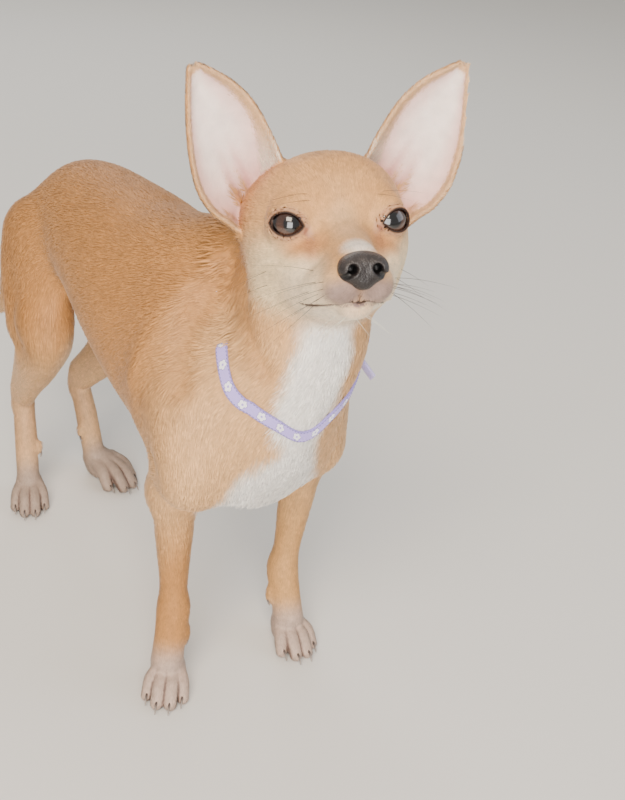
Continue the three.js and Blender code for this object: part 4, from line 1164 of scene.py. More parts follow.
def skin_material():
    """Thin living skin under the coat: soft, slightly see-through, with a fine grain."""
    made, tree, shader = material("dog_skin")
    blotches = texture(tree, "ShaderNodeTexNoise", "Fac", 160, Detail=4)
    mottled(tree, shader, "skin", blotches, seen=(0.3, 0.7), shades=(0.9, 1.06))
    grain = texture(tree, "ShaderNodeTexNoise", "Fac", 1400, Detail=2)
    add_bump(tree, shader, grain, 0.25, 0.0003)
    set_shader(shader, roughness=0.62, specular=0.3, subsurface=0.12, subsurface_scale=0.002,
               subsurface_radius=(1.0, 0.45, 0.3))
    return made


hair = coat_material()
skin_finish = skin_material()

SIDED_FLESH = ("ear", "forepaw", "forearm", "hindpaw", "hock", "thigh")
flesh = ["head", "neck", "trunk", "tail"]
flesh += [f"{part}_{SIDE_NAME[side]}" for part in SIDED_FLESH for side in SIDES]
skin = make_piece("skin", skin_points, skin_faces)
paint(skin, "skin", skin_colours(skin_points, skin_normals))
finish_piece(skin, skin_finish, "short_fawn_coat", *flesh)


# The coat

MOST_TUFTS = 32000
TUFT_BUDGET = 235000


def lie_of_coat(points, normals):
    """The direction in which the hair lies at each place, along the skin, and the region it belongs to."""
    total = np.zeros_like(points)
    regions = sorted({lump["region"] for lump in LUMPS})
    weight_in = np.zeros((len(points), len(regions)))
    for lump in LUMPS:
        near = within(points, lump["low"], lump["high"])
        if not len(near):
            continue
        d = lump["distance"](lump["place"].inside(points[near]))
        weight = np.exp(-np.clip(d, 0, 60) / 3.5)
        total[near] += lump["lie"](points[near]) * weight[:, None]
        weight_in[near, regions.index(lump["region"])] += weight
    region = np.array(regions)[weight_in.argmax(axis=1)]
    for ear, belongs, facet in ear_shares(points):
        spread = unit(points - ear.sheet[EAR_ALONG // 3, EAR_ACROSS // 2])
        total = total * (1 - belongs)[:, None] + unit(ear.rising[facet] + 0.35 * spread) * belongs[:, None]
        region = np.where(belongs > 0.5, "ears", region)
    swirl = 0.22 * wavy(points, 16) + rng.normal(0, 0.14, len(points))
    total = unit(total - (total * normals).sum(axis=1, keepdims=True) * normals)
    across = np.cross(normals, total)
    return unit(total + across * swirl[:, None]), region


def over_collar(points):
    """1 where the neck's longer hair falls over the collar, on the nape and the dog's right."""
    p = collar_place.inside(points)
    degrees = np.degrees(np.arctan2(p[:, 1], p[:, 0])) % 360
    hidden = smooth_step(28, 50, degrees) * (1 - smooth_step(172, 204, degrees))
    return hidden * swell(p[:, 2], 4.5, 4.5) * (np.hypot(p[:, 0], p[:, 1]) < 60)


def coat_sizes(points, region):
    """Length and width of a tuft at each place, and the share of the skin that tufts cover."""
    h = head_place.inside(points)
    face = np.linalg.norm(h - (0, -14, -12), axis=1)
    length = np.full(len(points), 5.6)
    length = np.where(points[:, 2] < 95, 3.2 + 2.4 * smooth_step(40, 100, points[:, 2]), length)
    length = np.where(points[:, 2] < 26, 2.2, length)
    length = np.where(region == "neck", 6.2, length)
    length = np.where(region == "head", 1.7 + 3.2 * smooth_step(14, 62, face), length)
    length = np.where(region == "ears", 2.0, length)
    length = length + 4.5 * over_collar(points)
    length = np.where(region == "tail", 5.2, length)
    width = 0.13 + 0.05 * length
    cover = np.where(region == "head", 2.6, 2.0)
    return length, width, cover


def bare_places(points, normals):
    """How bare the skin is: eyelids, lips, the inside of the ears, soles, and where the nose sits."""
    h = head_place.inside(points)
    bare = np.zeros(len(points))
    for side in SIDES:
        near = near_eye(points, side)
        bare = np.maximum(bare, near * (1 - smooth_step(1.7, 2.6, almond(points, side))))
        lip = line_distance(h, mouth_line[side])
        bare = np.maximum(bare, np.maximum(1 - smooth_step(1.0, 1.6, lip), under_lip(h, lip)))
        bare = np.maximum(bare, spot(h, (side * 13.4, -6.5, -2.6), (3.4, 4.5, 3), 0.3))
    for ear, belongs, facet in ear_shares(points):
        front = ear.faced(facet, normals, 0.1, 0.5) * belongs
        u, v = ear.u[facet], ear.v[facet]
        fringe = 0.16 * smooth_step(0.5, 0.1, v)
        inner = np.minimum(smooth_step(0.02 + fringe, 0.09 + fringe, u), smooth_step(0.99, 0.94, u))
        inner = inner * smooth_step(1.0, 0.96, v)
        bare = np.maximum(bare, front * inner)
    nose = np.linalg.norm((h - NOSE_BARE["centre"]) / NOSE_BARE["half"], axis=1)
    bare = np.maximum(bare, 1 - smooth_step(0.95, 1.05, nose))
    bare = np.maximum(bare, (points[:, 2] < 1.2) & (normals[:, 2] < -0.7))
    return bare


def scatter_roots(count_scale):
    """Places on the skin for the tufts, closer together where they are small."""
    corners = skin_points[skin_faces]
    area = np.linalg.norm(np.cross(corners[:, 1] - corners[:, 0], corners[:, 2] - corners[:, 0]), axis=1) / 2
    middle = corners.mean(axis=1)
    normals = unit(skin_normals[skin_faces].mean(axis=1))
    lie, region = lie_of_coat(middle, normals)
    length, width, cover = coat_sizes(middle, region)
    wanted = count_scale * area * cover / (0.5 * length * width) * (1 - bare_places(middle, normals))
    wanted = wanted * min(1, count_scale * TUFT_BUDGET / wanted.sum())
    count = np.floor(wanted + rng.random(len(wanted))).astype(int)
    face = np.repeat(np.arange(len(count)), count)
    a, b = rng.random((2, len(face)))
    flip = a + b > 1
    a[flip], b[flip] = 1 - a[flip], 1 - b[flip]
    share = np.stack([1 - a - b, a, b], axis=1)
    roots = (corners[face] * share[..., None]).sum(axis=1)
    normals = unit((skin_normals[skin_faces[face]] * share[..., None]).sum(axis=1))
    for side in SIDES:
        near = near_eye(roots, side)
        normals[near] = unit(slope_of(body_field, roots[near], 0.8))
    return roots, normals


def tuft_shapes(roots, normals, lie, length, width, depth):
    """Each tuft is a slim closed spindle: a root, a ring of three and a tip, lying along the skin."""
    length = (length * rng.uniform(0.75, 1.2, len(roots)))[:, None]
    width = (width * rng.uniform(0.75, 1.25, len(roots)))[:, None]
    rise = (depth * rng.uniform(0.55, 1.05, len(roots)))[:, None]
    across = np.cross(normals, lie)
    root = roots - 0.25 * normals
    belly = roots + 0.42 * length * lie + 0.62 * rise * normals
    tip = roots + length * lie + (0.9 * rise - 0.011 * length ** 2) * normals
    ring = [belly - 0.5 * width * across, belly + 0.28 * width * normals, belly + 0.5 * width * across]
    points = np.stack([root, *ring, tip], axis=1)
    one = np.array([(0, 1, 2), (0, 2, 3), (0, 3, 1), (4, 2, 1), (4, 3, 2), (4, 1, 3)])
    faces = one[None] + 5 * np.arange(len(roots))[:, None, None]
    return points.reshape(-1, 3), faces.reshape(-1, 3)


def unwrap_place(roots, region):
    """Where each root lies on an unwrap of the skin: round its body part and along it, each from 0 to 1."""
    x, y, z = roots.T
    if region == "head":
        h = head_place.inside(roots)
        round_it, along = np.arctan2(h[:, 2] + 10, h[:, 0]), h[:, 1]
    elif region == "ears":
        h = head_place.inside(roots)
        round_it, along = np.arctan2(h[:, 1] - 22 + 0.2 * h[:, 2], np.abs(h[:, 0]) - 36), h[:, 2]
    elif region in ("forelegs", "hindlegs"):
        legs, top = (FORELEG, "elbow") if region == "forelegs" else (HINDLEG, "stifle")
        left, right = (lerp(legs[side]["paw"], legs[side][top], 0.5) for side in (LEFT, RIGHT))
        middle = np.where(x[:, None] > 0, left, right)
        round_it, along = np.arctan2(y - middle[:, 1], x - middle[:, 0]), z
    elif region == "tail":
        round_it, along = np.arctan2(x + 6, y - 150 + 0.9 * (z - 148)), z
    elif region == "neck":
        round_it, along = np.arctan2(y + 84, x - 6), z - 0.7 * y
    else:
        round_it, along = np.arctan2(z - 155, x), y
    round_it = (round_it + math.pi) / (2 * math.pi)
    if region in ("ears", "forelegs", "hindlegs"):
        half = head_place.inside(roots)[:, 0] > 0 if region == "ears" else x > 0
        round_it = (round_it + half) / 2
    along = (along - along.min()) / max(np.ptp(along), 1e-6)
    return 0.002 + 0.992 * np.stack([round_it, along], axis=1)


# Each tuft has a small patch of the unwrap, one corner for each of its points
PATCH = 0.003
PATCH_CORNERS = PATCH * np.array([(0.5, 0), (0, 0.4), (0.5, 0.5), (1, 0.4), (0.5, 1)])

# How light each of a tuft's points is, from root to tip: the root darker as painted shade under the coat, the
# ring's top a touch lighter than its sides as painted light, the tip paler like the hair's pale tips; and how
# far its normals follow the skin's
TUFT_SHADE_AND_TONE = np.array([0.88, 0.98, 1.0, 0.98, 1.06])
SKIN_SHADING = 0.86


def tuft_colours(roots, normals):
    """Each tuft's colour: the markings, the ears' rims and lids, a few dark streaks, and chance."""
    colours, h, _ = markings(roots)
    for ear, belongs, facet in ear_shares(roots):
        front = ear.faced(facet, normals, 0.1, 0.5) * belongs
        pale = smooth_step(0.45, 0.15, ear.v[facet]) * smooth_step(0.5, 0.1, ear.u[facet])
        rim = lerp(linear("#E2BA8E"), linear("#F4E7D4"), pale[:, None])
        colours = tinted(colours, 0.75 * belongs * (1 - front), "#C79462")
        colours = lerp(colours, rim, 0.9 * front[:, None])
    for side in SIDES:
        near = near_eye(roots, side)
        lids = near * (1 - smooth_step(1.8, 3.4, almond(roots, side)))
        colours = tinted(colours, 0.45 * lids, "#B88C68")
    streaks = spot(h, (0, 2, 20), (24, 24, 16), 0.5) * (rng.random(len(roots)) < 0.08)
    colours = tinted(colours, 0.35 * streaks, "#7A5638")
    shade = rng.normal(1, 0.06, len(roots)) * (1 - 0.16 * (rng.random(len(roots)) < 0.10))
    return colours * (shade + 0.05 * wavy(roots, 7))[:, None]


def make_coat():
    """The coat: every tuft a small solid of its own, kept in pieces by the part of the body."""
    roots, normals = scatter_roots(1.0)
    lie, region = lie_of_coat(roots, normals)
    length, width, _ = coat_sizes(roots, region)
    depth = coat_depth(roots) * np.where(region == "ears", 0.6, 1) + 2.2 * over_collar(roots)
    colours = tuft_colours(roots, normals)
    print("tufts", len(roots), {str(r): int((region == r).sum()) for r in np.unique(region)})
    for name in np.unique(region):
        rows = np.flatnonzero(region == name)
        rows = rows[np.argsort(roots[rows, 1], kind="stable")]
        parts = np.array_split(rows, math.ceil(len(rows) / MOST_TUFTS))
        for number, part in enumerate(parts):
            given = (values[part] for values in (roots, normals, lie, length, width, depth))
            points, faces = tuft_shapes(*given)
            label = f"coat_{name}" if len(parts) == 1 else f"coat_{name}_{number + 1}"
            piece = make_piece(label, points, faces)
            paint(piece, "coat", (colours[part][:, None] * TUFT_SHADE_AND_TONE[None, :, None]).reshape(-1, 3))
            patch = unwrap_place(roots[part], name)[:, None] + PATCH_CORNERS[None] - PATCH / 2
            corners = patch.reshape(-1, 2)
            shading = lerp(vertex_normals(points, faces), np.repeat(normals[part], 5, axis=0), SKIN_SHADING)
            piece.data.normals_split_custom_set_from_vertices(unit(shading))
            layer = piece.data.uv_layers.new(name="OFBake")
            layer.data.foreach_set("uv", corners[faces.ravel()].astype(np.float32).ravel())
            finish_piece(piece, hair, "short_fawn_coat")


make_coat()


# Eyes: a wet dark brown iris with a black pupil and limbus, under a clear cornea

def ball_mesh(across, down):
    """Unit directions and faces of a ball whose pole looks along -Y."""
    theta = np.linspace(0, math.pi, down + 1)
    phi = np.linspace(0, 2 * math.pi, across, endpoint=False)
    inner = [(math.sin(t) * math.cos(p), -math.cos(t), math.sin(t) * math.sin(p))
             for t in theta[1:-1] for p in phi]
    points = np.array([(0, -1, 0), *inner, (0, 1, 0)])
    faces = []
    for j in range(across):
        after = (j + 1) % across
        faces.append((0, 1 + j, 1 + after))
        last = 1 + (down - 2) * across
        faces.append((len(points) - 1, last + after, last + j))
        for i in range(down - 2):
            a, b = 1 + i * across + j, 1 + i * across + after
            faces.append((a, a + across, b + across))
            faces.append((a, b + across, b))
    return points, np.array(faces)


def eye_material():
    """A living eye: a brown iris and black pupil under a wet, clear cornea that mirrors the window."""
    made, tree, shader = material("wet_brown_eye")
    colour = add_node(tree, "ShaderNodeAttribute", attribute_name="iris")
    tree.links.new(colour.outputs["Color"], shader.inputs["Base Color"])
    set_shader(shader, roughness=0.15, specular=0.5, ior=1.45, coat_weight=1.0, coat_roughness=0.02,
               coat_ior=1.5)
    return made


def make_eyes():
    """Two eyeballs with a bulging cornea; the iris and pupil are colours by the angle from the gaze."""
    finish = eye_material()
    directions, faces = ball_mesh(96, 64)
    angle = np.degrees(np.arccos(np.clip(-directions[:, 1], -1, 1)))
    around = np.arctan2(directions[:, 2], directions[:, 0])
    fibres = 0.5 + 0.5 * np.sin(around * 37 + 2.2 * np.sin(around * 11))
    white, brown, light, black = (linear(text) for text in ("#5A463E", "#2C1912", "#5F4233", "#040304"))
    lit_below = smooth_step(0.5, -0.7, directions[:, 2])
    iris = brown + (light - brown) * ((0.4 + 0.4 * fibres) * smooth_step(16, 30, angle) * lit_below)[:, None]
    colour = black + (iris - black) * smooth_step(19, 23, angle)[:, None]
    colour = colour + (black * 2 - colour) * smooth_step(40, 46, angle)[:, None]
    colour = colour + (white - colour) * smooth_step(53, 59, angle)[:, None]
    bulge = 1 + 0.04 * smooth_step(52, 0, angle)
    for side in SIDES:
        gaze = head_place.at(head_place.inside(eye_place[side].origin), turn("Z", side * EYE["gaze"]))
        points = gaze.outside(directions * (EYE["radius"] * bulge)[:, None])
        piece = make_piece(f"eyeball_{SIDE_NAME[side]}", points, faces)
        paint(piece, "iris", colour)
        finish_piece(piece, finish, "eye", f"eye_{SIDE_NAME[side]}")


make_eyes()


# Nose pad: grey pebbled skin with comma nostrils and a cleft

def nose_field(points):
    """How far points lie outside the nose pad: three eggs with nostrils and a cleft carved out."""
    p = head_place.inside(points)
    folded = np.stack([np.abs(p[:, 0]), p[:, 1], p[:, 2]], axis=1)

    def egg(at, radii, q):
        d = (q - np.array(at, float)) / np.array(radii, float)
        scaled = np.linalg.norm(d, axis=1)
        return scaled * (scaled - 1) / np.maximum(np.linalg.norm(d / np.array(radii, float), axis=1), 1e-6)

    def tube(line, start, end, q):
        fine = spline([(*a, 0) for a in line], 5)[:, :3]
        best = np.full(len(q), FAR)
        for i, (a, b) in enumerate(zip(fine[:-1], fine[1:])):
            far, t = from_straight(q, a, b)
            best = np.minimum(best, far - start - (end - start) * (i + t) / (len(fine) - 1))
        return best

    value = egg((0, -29.0, -15.2), (8.6, 5.6, 5.0), p)
    value = joined(value, egg((4.8, -30.6, -16.7), (4.8, 4.7, 4.8), folded), 1.3)
    value = joined(value, egg((0, -30.0, -20.4), (4.6, 4.4, 4.2), p), 2.5)
    nostril = [(4.3, -37, -16.6), (4.6, -34.0, -16.7), (4.9, -31, -16.6)]
    value = carved(value, tube(nostril, 2.1, 1.5, folded), 0.9)
    comma = [(5.0, -35.0, -18.0), (7.2, -33.0, -19.4), (9.8, -30.0, -19.6)]
    value = carved(value, tube(comma, 1.5, 0.9, folded), 0.8)
    cleft = [(0, -35.8, -16.8), (0, -35.6, -19), (0, -34.0, -25.5)]
    return carved(value, tube(cleft, 0.45, 0.6, p), 0.9)


def nose_material():
    """Nose leather: dark grey skin in small pebbles, a little wet."""
    made, tree, shader = material("nose_leather")
    pebbles = texture(tree, "ShaderNodeTexVoronoi", "Distance", 1500)
    # The grooves between the pebbles are painted darker, as painted shade
    mottled(tree, shader, "pad", pebbles, seen=(0.0, 0.7), shades=(1.0, 0.6))
    add_bump(tree, shader, pebbles, 0.5, 0.0004, invert=True)
    set_shader(shader, roughness=0.42, specular=0.5, ior=1.45, coat_weight=0.15, coat_roughness=0.25)
    return made


def make_nose():
    """The nose pad, lighter on top and darker below as painted light from above, and darkest in its nostrils
    as painted shade.
    """
    corners = head_place.outside([(x, y, z) for x in (-11, 11) for y in (-38, -22) for z in (-27, -8)])
    low, high = corners.min(axis=0) - 1, corners.max(axis=0) + 1
    axes = [stretched_axis([(low[i], 0.38), (high[i], None)]) for i in range(3)]
    points, faces = surface_of(nose_field, axes)
    points = settled(nose_field, points, 2, 0.2)
    h = head_place.inside(points)
    painted_nostril_shade = smooth_step(-34.2, -32.4, h[:, 1]) * spot(np.abs(h), (5.2, 31.5, 17.6), (3.3, 4.5, 3.3), 0.4)
    # Painted light: the top of the pad lighter and its underside darker; painted shade deep in the nostrils
    upper, lower = linear("#3C3635"), linear("#231D1D")
    colour = upper + (lower - upper) * smooth_step(-11, -20, h[:, 2])[:, None]
    colour = colour + (linear("#0B090A") - colour) * painted_nostril_shade[:, None]
    piece = make_piece("nose_pad", points, faces)
    paint(piece, "pad", colour)
    finish_piece(piece, nose_material(), "nose_leather", "nose")


make_nose()


# Tubes for claws and hairs

def tube_mesh(path, radii, sides, flat=1.0):
    """A closed tapering tube along a path, its section narrowed sideways by flat."""
    path = np.asarray(path, float)
    tangent = unit(np.gradient(path, axis=0))
    reference = np.array([0.0, 0.0, 1.0]) if abs(tangent[0, 2]) < 0.9 else np.array([1.0, 0.0, 0.0])
    across = unit(np.cross(tangent, reference))
    other = np.cross(tangent, across)
    angle = 2 * math.pi * np.arange(sides) / sides
    sideways, upward = np.cos(angle)[None, :, None] * flat, np.sin(angle)[None, :, None]
    ring = sideways * across[:, None] + upward * other[:, None]
    points = (path[:, None] + ring * np.asarray(radii)[:, None, None]).reshape(-1, 3)
    faces = []
    for i in range(len(path) - 1):
        for j in range(sides):
            a, b = i * sides + j, i * sides + (j + 1) % sides
            faces.append((a, b, b + sides))
            faces.append((a, b + sides, a + sides))
    start, end = len(points), len(points) + 1
    last = (len(path) - 1) * sides
    for j in range(sides):
        faces.append((start, (j + 1) % sides, j))
        faces.append((end, last + j, last + (j + 1) % sides))
    return np.concatenate([points, path[:1], path[-1:]]), np.array(faces)


def joined_mesh(parts):
    """Several meshes as one."""
    points, faces, start = [], [], 0
    for p, f in parts:
        points.append(p)
        faces.append(f + start)
        start += len(p)
    return np.concatenate(points), np.concatenate(faces)


def outward_mesh(points, faces):
    """The same mesh turned so that its faces point out."""
    corners = points[faces]
    volume = np.einsum("ij,ij->i", corners[:, 0], np.cross(corners[:, 1], corners[:, 2])).sum()
    return (points, faces[:, ::-1]) if volume < 0 else (points, faces)


def claw_material():
    """Claw horn: keratin, dark grey-brown at the root and paler and clearer at the tip."""
    made, tree, shader = material("claw_horn")
    growth = texture(tree, "ShaderNodeTexNoise", "Fac", 900, Detail=2)
    mottled(tree, shader, "horn", growth, seen=(0.3, 0.7), shades=(0.8, 1.1))
    set_shader(shader, roughness=0.38, specular=0.45, ior=1.54)
    return made


TOE_NAMES = ("inner", "mid_inner", "mid_outer", "outer")


def make_claws():
    """Four claws and a dewclaw on each leg, in one piece."""
    parts, shades, names = [], [], []
    rings = 9
    for side in SIDES:
        for limb, legs, stretch in (("fore", FORELEG, FORE_PAW_LENGTH), ("hind", HINDLEG, HIND_PAW_LENGTH)):
            leg = legs[side]
            place = Place(leg["paw"], turn("Z", leg["yaw"]))
            size = leg["size"]
            for x, _, tip, radius in TOES:
                front = (tip * stretch - 0.9 * radius) * size
                tip_place = (front - CLAW["reach"] + 2.6, 4.4 - CLAW["drop"])
                line = [(front + 3, 4.6), (front - 0.8, 4.1), tip_place]
                path = spline([(x * TOE_SPREAD * size, y, z) for y, z in line], 4)
                t = np.linspace(0, 1, len(path))
                radii = (CLAW["root"] * (1 - t) ** 0.75 + CLAW["tip"] * t) * 0.82
                parts.append(outward_mesh(*tube_mesh(place.outside(path), radii, 10, 0.72)))
                shades.append(np.append(np.repeat(t, 10), (0, 1)))
            names += [f"claw_{limb}_{SIDE_NAME[side]}_{toe}" for toe in TOE_NAMES]
            if limb == "fore":
                root, out = Place(offset(leg["wrist"], 0, 0, -13), turn("Z", leg["yaw"])), 7.4
            else:
                root, out = Place(lerp(leg["hock"], leg["ankle"], 0.6), turn("Z", leg["yaw"])), 8
            line = [(out - 1.2, -1, -2), (out + 0.4, -2.2, -4.4), (out, -3.4, -6.6)]
            path = spline([(-side * x, y, z) for x, y, z in line], 4)
            t = np.linspace(0, 1, rings)
            radii = 0.95 * (1 - t) ** 0.75 + 0.3 * t
            parts.append(outward_mesh(*tube_mesh(root.outside(path), radii, 10, 0.75)))
            shades.append(np.append(np.repeat(t, 10), (0, 1)))
            names.append(f"dewclaw_{limb}_{SIDE_NAME[side]}")
    points, faces = joined_mesh(parts)
    piece = make_piece("claws", points, faces)
    t = np.concatenate(shades)[:, None]
    paint(piece, "horn", lerp(linear("#4F4440"), linear("#A1948A"), smooth_step(0.3, 1.0, t)))
    finish_piece(piece, claw_material(), "claw_horn", *names)


make_claws()


def onto_skin(tree, point):
    """The skin's nearest place to a point, and its normal there."""
    found = tree.find_nearest(point)
    return np.array(found[0]), np.array(found[1])


def whisker_material(label, colour):
    """Whisker keratin: one stiff hair, a little lighter and darker along its length, with a faint gloss."""
    made, tree, shader = material(f"whisker_keratin_{label}")
    wander = texture(tree, "ShaderNodeTexNoise", "Fac", 200)
    two_toned(tree, shader, wander, colour * 0.8, np.minimum(colour * 1.4, 1))
    set_shader(shader, roughness=0.4, ior=1.55)
    return made


def make_whiskers():
    """Stiff single hairs on the lips, chin, cheeks and brows."""
    tree = BVHTree.FromPolygons(skin_points.tolist(), skin_faces.tolist())
    lip = [(11 + 1.2 * i, -23 + 5 * j, -22 - 2.2 * i) for i in range(3) for j in range(3)]
    chin = [(4, -18, -36), (8, -12, -37), (3, -9, -40)]
    brow = [(13, -3, 11), (16, -2, 12.5), (11, -4.5, 9)]
    cheek = [(31, 8, -20), (30, 10, -25)]
    parts = {"dark": [], "pale": []}
    for spots, (short, long), radius, shade in (
        (lip, (15, 27), 0.1, "dark"), (chin, (9, 15), 0.1, "pale"),
        (brow, (11, 17), 0.09, "dark"), (cheek, (10, 16), 0.1, "dark"),
    ):
        for x, y, z in spots:
            for side in SIDES:
                jitter = rng.normal(0, 0.6, 3)
                root, normal = onto_skin(tree, head_place.outside(np.array((side * x, y, z)) + jitter))
                back = unit(head_place.axes @ np.array([side * 0.75, 0.55, -0.25]) + rng.normal(0, 0.12, 3))
                start = unit(0.7 * normal + back)
                length = rng.uniform(short, long)
                t = np.linspace(0, 1, 8)[:, None]
                path = root - 0.4 * normal + length * (t * start + 0.22 * t ** 2 * (back - (0, 0, 0.7)))
                radii = radius * (1 - 0.85 * t[:, 0])
                parts[shade].append(outward_mesh(*tube_mesh(path, radii, 4)))
    for shade, text in (("dark", "#2E241F"), ("pale", "#E9DCC8")):
        made = whisker_material(shade, linear(text))
        finish_piece(make_piece(f"whiskers_{shade}", *joined_mesh(parts[shade])), made, "short_fawn_coat")


make_whiskers()


# Collar: woven lilac webbing with stitched darker edges and small pale flowers

# The printed flower: how often it comes, where its petals sit, their size, and its outline and heart
FLOWER = {"every": 9.4, "petals": 5, "petal_at": (1.25, 1.15), "petal": 0.8, "outline": 0.22, "heart": 0.5}
DARK_EDGE = 0.45
STITCH = {"every": 1.6, "half": (0.5, 0.16, 0.1), "from_edge": 0.55}

# How far the buckle and the strap end move to lie on the coat like the band
SET_DOWN = {"inward": 2.8, "up": 1.5}


def webbing_material(length):
    """Nylon webbing: a tight plain weave, printed, with a darker stitched edge on both sides."""
    made, tree, shader = material("lilac_nylon_webbing")
    uv = add_node(tree, "ShaderNodeUVMap", uv_map="webbing")
    parts = add_node(tree, "ShaderNodeSeparateXYZ", {"Vector": uv.outputs["UV"]})
    along, across = parts.outputs["X"], parts.outputs["Y"]

    def maths(operation, a, b=0.0, c=0.0):
        node = add_node(tree, "ShaderNodeMath", operation=operation)
        for index, value in enumerate((a, b, c)):
            if isinstance(value, (int, float)):
                node.inputs[index].default_value = value
            else:
                tree.links.new(value, node.inputs[index])
        return node.outputs[0]

    def mixed(factor, a, b):
        node = add_node(tree, "ShaderNodeMix", data_type="RGBA")
        tree.links.new(factor, node.inputs[0])
        for index, value in ((6, a), (7, b)):
            if isinstance(value, str):
                node.inputs[index].default_value = (*linear(value), 1)
            else:
                tree.links.new(value, node.inputs[index])
        return node.outputs[2]

    # A five-petalled flower every few millimetres, in millimetres along and across
    repeat = length / round(length / FLOWER["every"])
    cell = maths("SUBTRACT", maths("MODULO", along, repeat), repeat / 2)

    def disc(x, y, radius):
        dx = maths("SUBTRACT", cell, x)
        dy = maths("SUBTRACT", across, y)
        square = maths("ADD", maths("MULTIPLY", dx, dx), maths("MULTIPLY", dy, dy))
        return maths("SUBTRACT", maths("SQRT", square), radius)

    petals = None
    x, y = FLOWER["petal_at"]
    for i in range(FLOWER["petals"]):
        angle = 2 * math.pi * i / FLOWER["petals"]
        petal = disc(x * math.cos(angle), y * math.sin(angle), FLOWER["petal"])
        petals = petal if petals is None else maths("MINIMUM", petals, petal)
    colour = mixed(maths("LESS_THAN", petals, FLOWER["outline"]), "#B5A0E8", "#7A6BB5")
    colour = mixed(maths("LESS_THAN", petals, 0.0), colour, "#F6F3FB")
    colour = mixed(maths("LESS_THAN", disc(0, 0, FLOWER["heart"]), 0.0), colour, "#A794DC")
    edge = maths("GREATER_THAN", maths("ABSOLUTE", across), COLLAR["width"] / 2 - DARK_EDGE)
    colour = mixed(edge, colour, "#9385CC")
    tree.links.new(colour, shader.inputs["Base Color"])
    # Threads half a millimetre apart, as 12.6 is one turn of the sine in that length
    warp, weft = (maths("SINE", maths("MULTIPLY", way, 12.6)) for way in (along, across))
    weave = maths("MULTIPLY", warp, weft)
    add_bump(tree, shader, weave, 0.5, 0.00012)
    set_shader(shader, roughness=0.62, specular=0.35, sheen_weight=0.25)
    return made


def make_collar():
    """The band: a section with rounded corners carried round the neck."""
    steps, corner = 300, 10
    thick, wide = COLLAR["thickness"], COLLAR["width"]
    angle = -math.pi + 2 * math.pi * np.arange(steps) / steps
    turn_round = 2 * math.pi * np.arange(2 * corner) / (2 * corner) + 0.001
    power = 0.35
    outs = thick / 2 + thick / 2 * np.sign(np.cos(turn_round)) * np.abs(np.cos(turn_round)) ** power
    ups = wide / 2 * np.sign(np.sin(turn_round)) * np.abs(np.sin(turn_round)) ** power
    rings = [on_collar(angle, out, up) for out, up in zip(outs, ups)]
    points = np.stack(rings, axis=1)
    around = len(outs)
    middle = points.mean(axis=1)
    length = np.linalg.norm(np.diff(np.concatenate([middle, middle[:1]]), axis=0), axis=1)
    run = np.concatenate([[0], np.cumsum(length)])
    faces, uvs = [], []
    for i in range(steps):
        after = (i + 1) % steps
        for j in range(around):
            beside = (j + 1) % around
            faces.append((i * around + j, after * around + j, after * around + beside, i * around + beside))
            uvs += [(run[i], ups[j]), (run[i + 1], ups[j]), (run[i + 1], ups[beside]), (run[i], ups[beside])]
    piece = make_piece("collar_band", points.reshape(-1, 3), faces)
    layer = piece.data.uv_layers.new(name="webbing")
    layer.data.foreach_set("uv", np.array(uvs, np.float32).ravel())
    finish_piece(piece, webbing_material(run[-1]), "collar_webbing", "collar")


make_collar()


def stitch_tree():
    """Geometry nodes that lay short threads one behind another along a line, flat on what is under it."""
    tree = bpy.data.node_groups.new("edge_stitches", "GeometryNodeTree")
    sockets = {"Geometry": "NodeSocketGeometry", "Spacing": "NodeSocketFloat",
               "Thread Size": "NodeSocketVector", "Thread": "NodeSocketMaterial"}
    names = {key: tree.interface.new_socket(key, in_out="INPUT", socket_type=kind).identifier
             for key, kind in sockets.items()}
    tree.interface.new_socket("Geometry", in_out="OUTPUT", socket_type="NodeSocketGeometry")
    given = add_node(tree, "NodeGroupInput").outputs
    line = add_node(tree, "GeometryNodeMeshToCurve", {"Mesh": given["Geometry"]})
    evenly = add_node(tree, "GeometryNodeResampleCurve", {
        "Curve": line.outputs["Curve"], "Length": given["Spacing"],
    }, mode="LENGTH")
    along = add_node(tree, "GeometryNodeInputTangent")
    outward = add_node(tree, "GeometryNodeInputNamedAttribute", data_type="FLOAT_VECTOR", Name="outward")
    turned = add_node(tree, "FunctionNodeAxesToRotation", {
        "Primary Axis": outward.outputs["Attribute"], "Secondary Axis": along.outputs["Tangent"],
    }, primary_axis="Z", secondary_axis="X")
    thread = add_node(tree, "GeometryNodeMeshUVSphere", Segments=8, Rings=6, Radius=1.0)
    laid = add_node(tree, "GeometryNodeInstanceOnPoints", {
        "Points": evenly.outputs["Curve"], "Instance": thread.outputs["Mesh"],
        "Rotation": turned.outputs["Rotation"], "Scale": given["Thread Size"],
    })
    real = add_node(tree, "GeometryNodeRealizeInstances", {"Geometry": laid.outputs["Instances"]})
    made = add_node(tree, "GeometryNodeSetMaterial", {
        "Geometry": real.outputs["Geometry"], "Material": given["Thread"],
    })
    add_node(tree, "NodeGroupOutput", {"Geometry": made.outputs["Geometry"]})
    return tree, names


def thread_material():
    """Polyester sewing thread, violet, with a fine twist along it."""
    made, tree, shader = material("violet_sewing_thread")
    twist = texture(tree, "ShaderNodeTexWave", "Fac", 900)
    two_toned(tree, shader, twist, linear("#574A8A"), linear("#6F61A8"))
    set_shader(shader, roughness=0.5, sheen_weight=0.2)
    return made


def apply_modifiers(piece):
    """Gives a piece the smooth mesh that its modifiers make."""
    evaluated = piece.evaluated_get(bpy.context.evaluated_depsgraph_get())
    finished = bpy.data.meshes.new_from_object(evaluated)
    piece.modifiers.clear()
    piece.data = finished
    finished.polygons.foreach_set("use_smooth", np.full(len(finished.polygons), True))


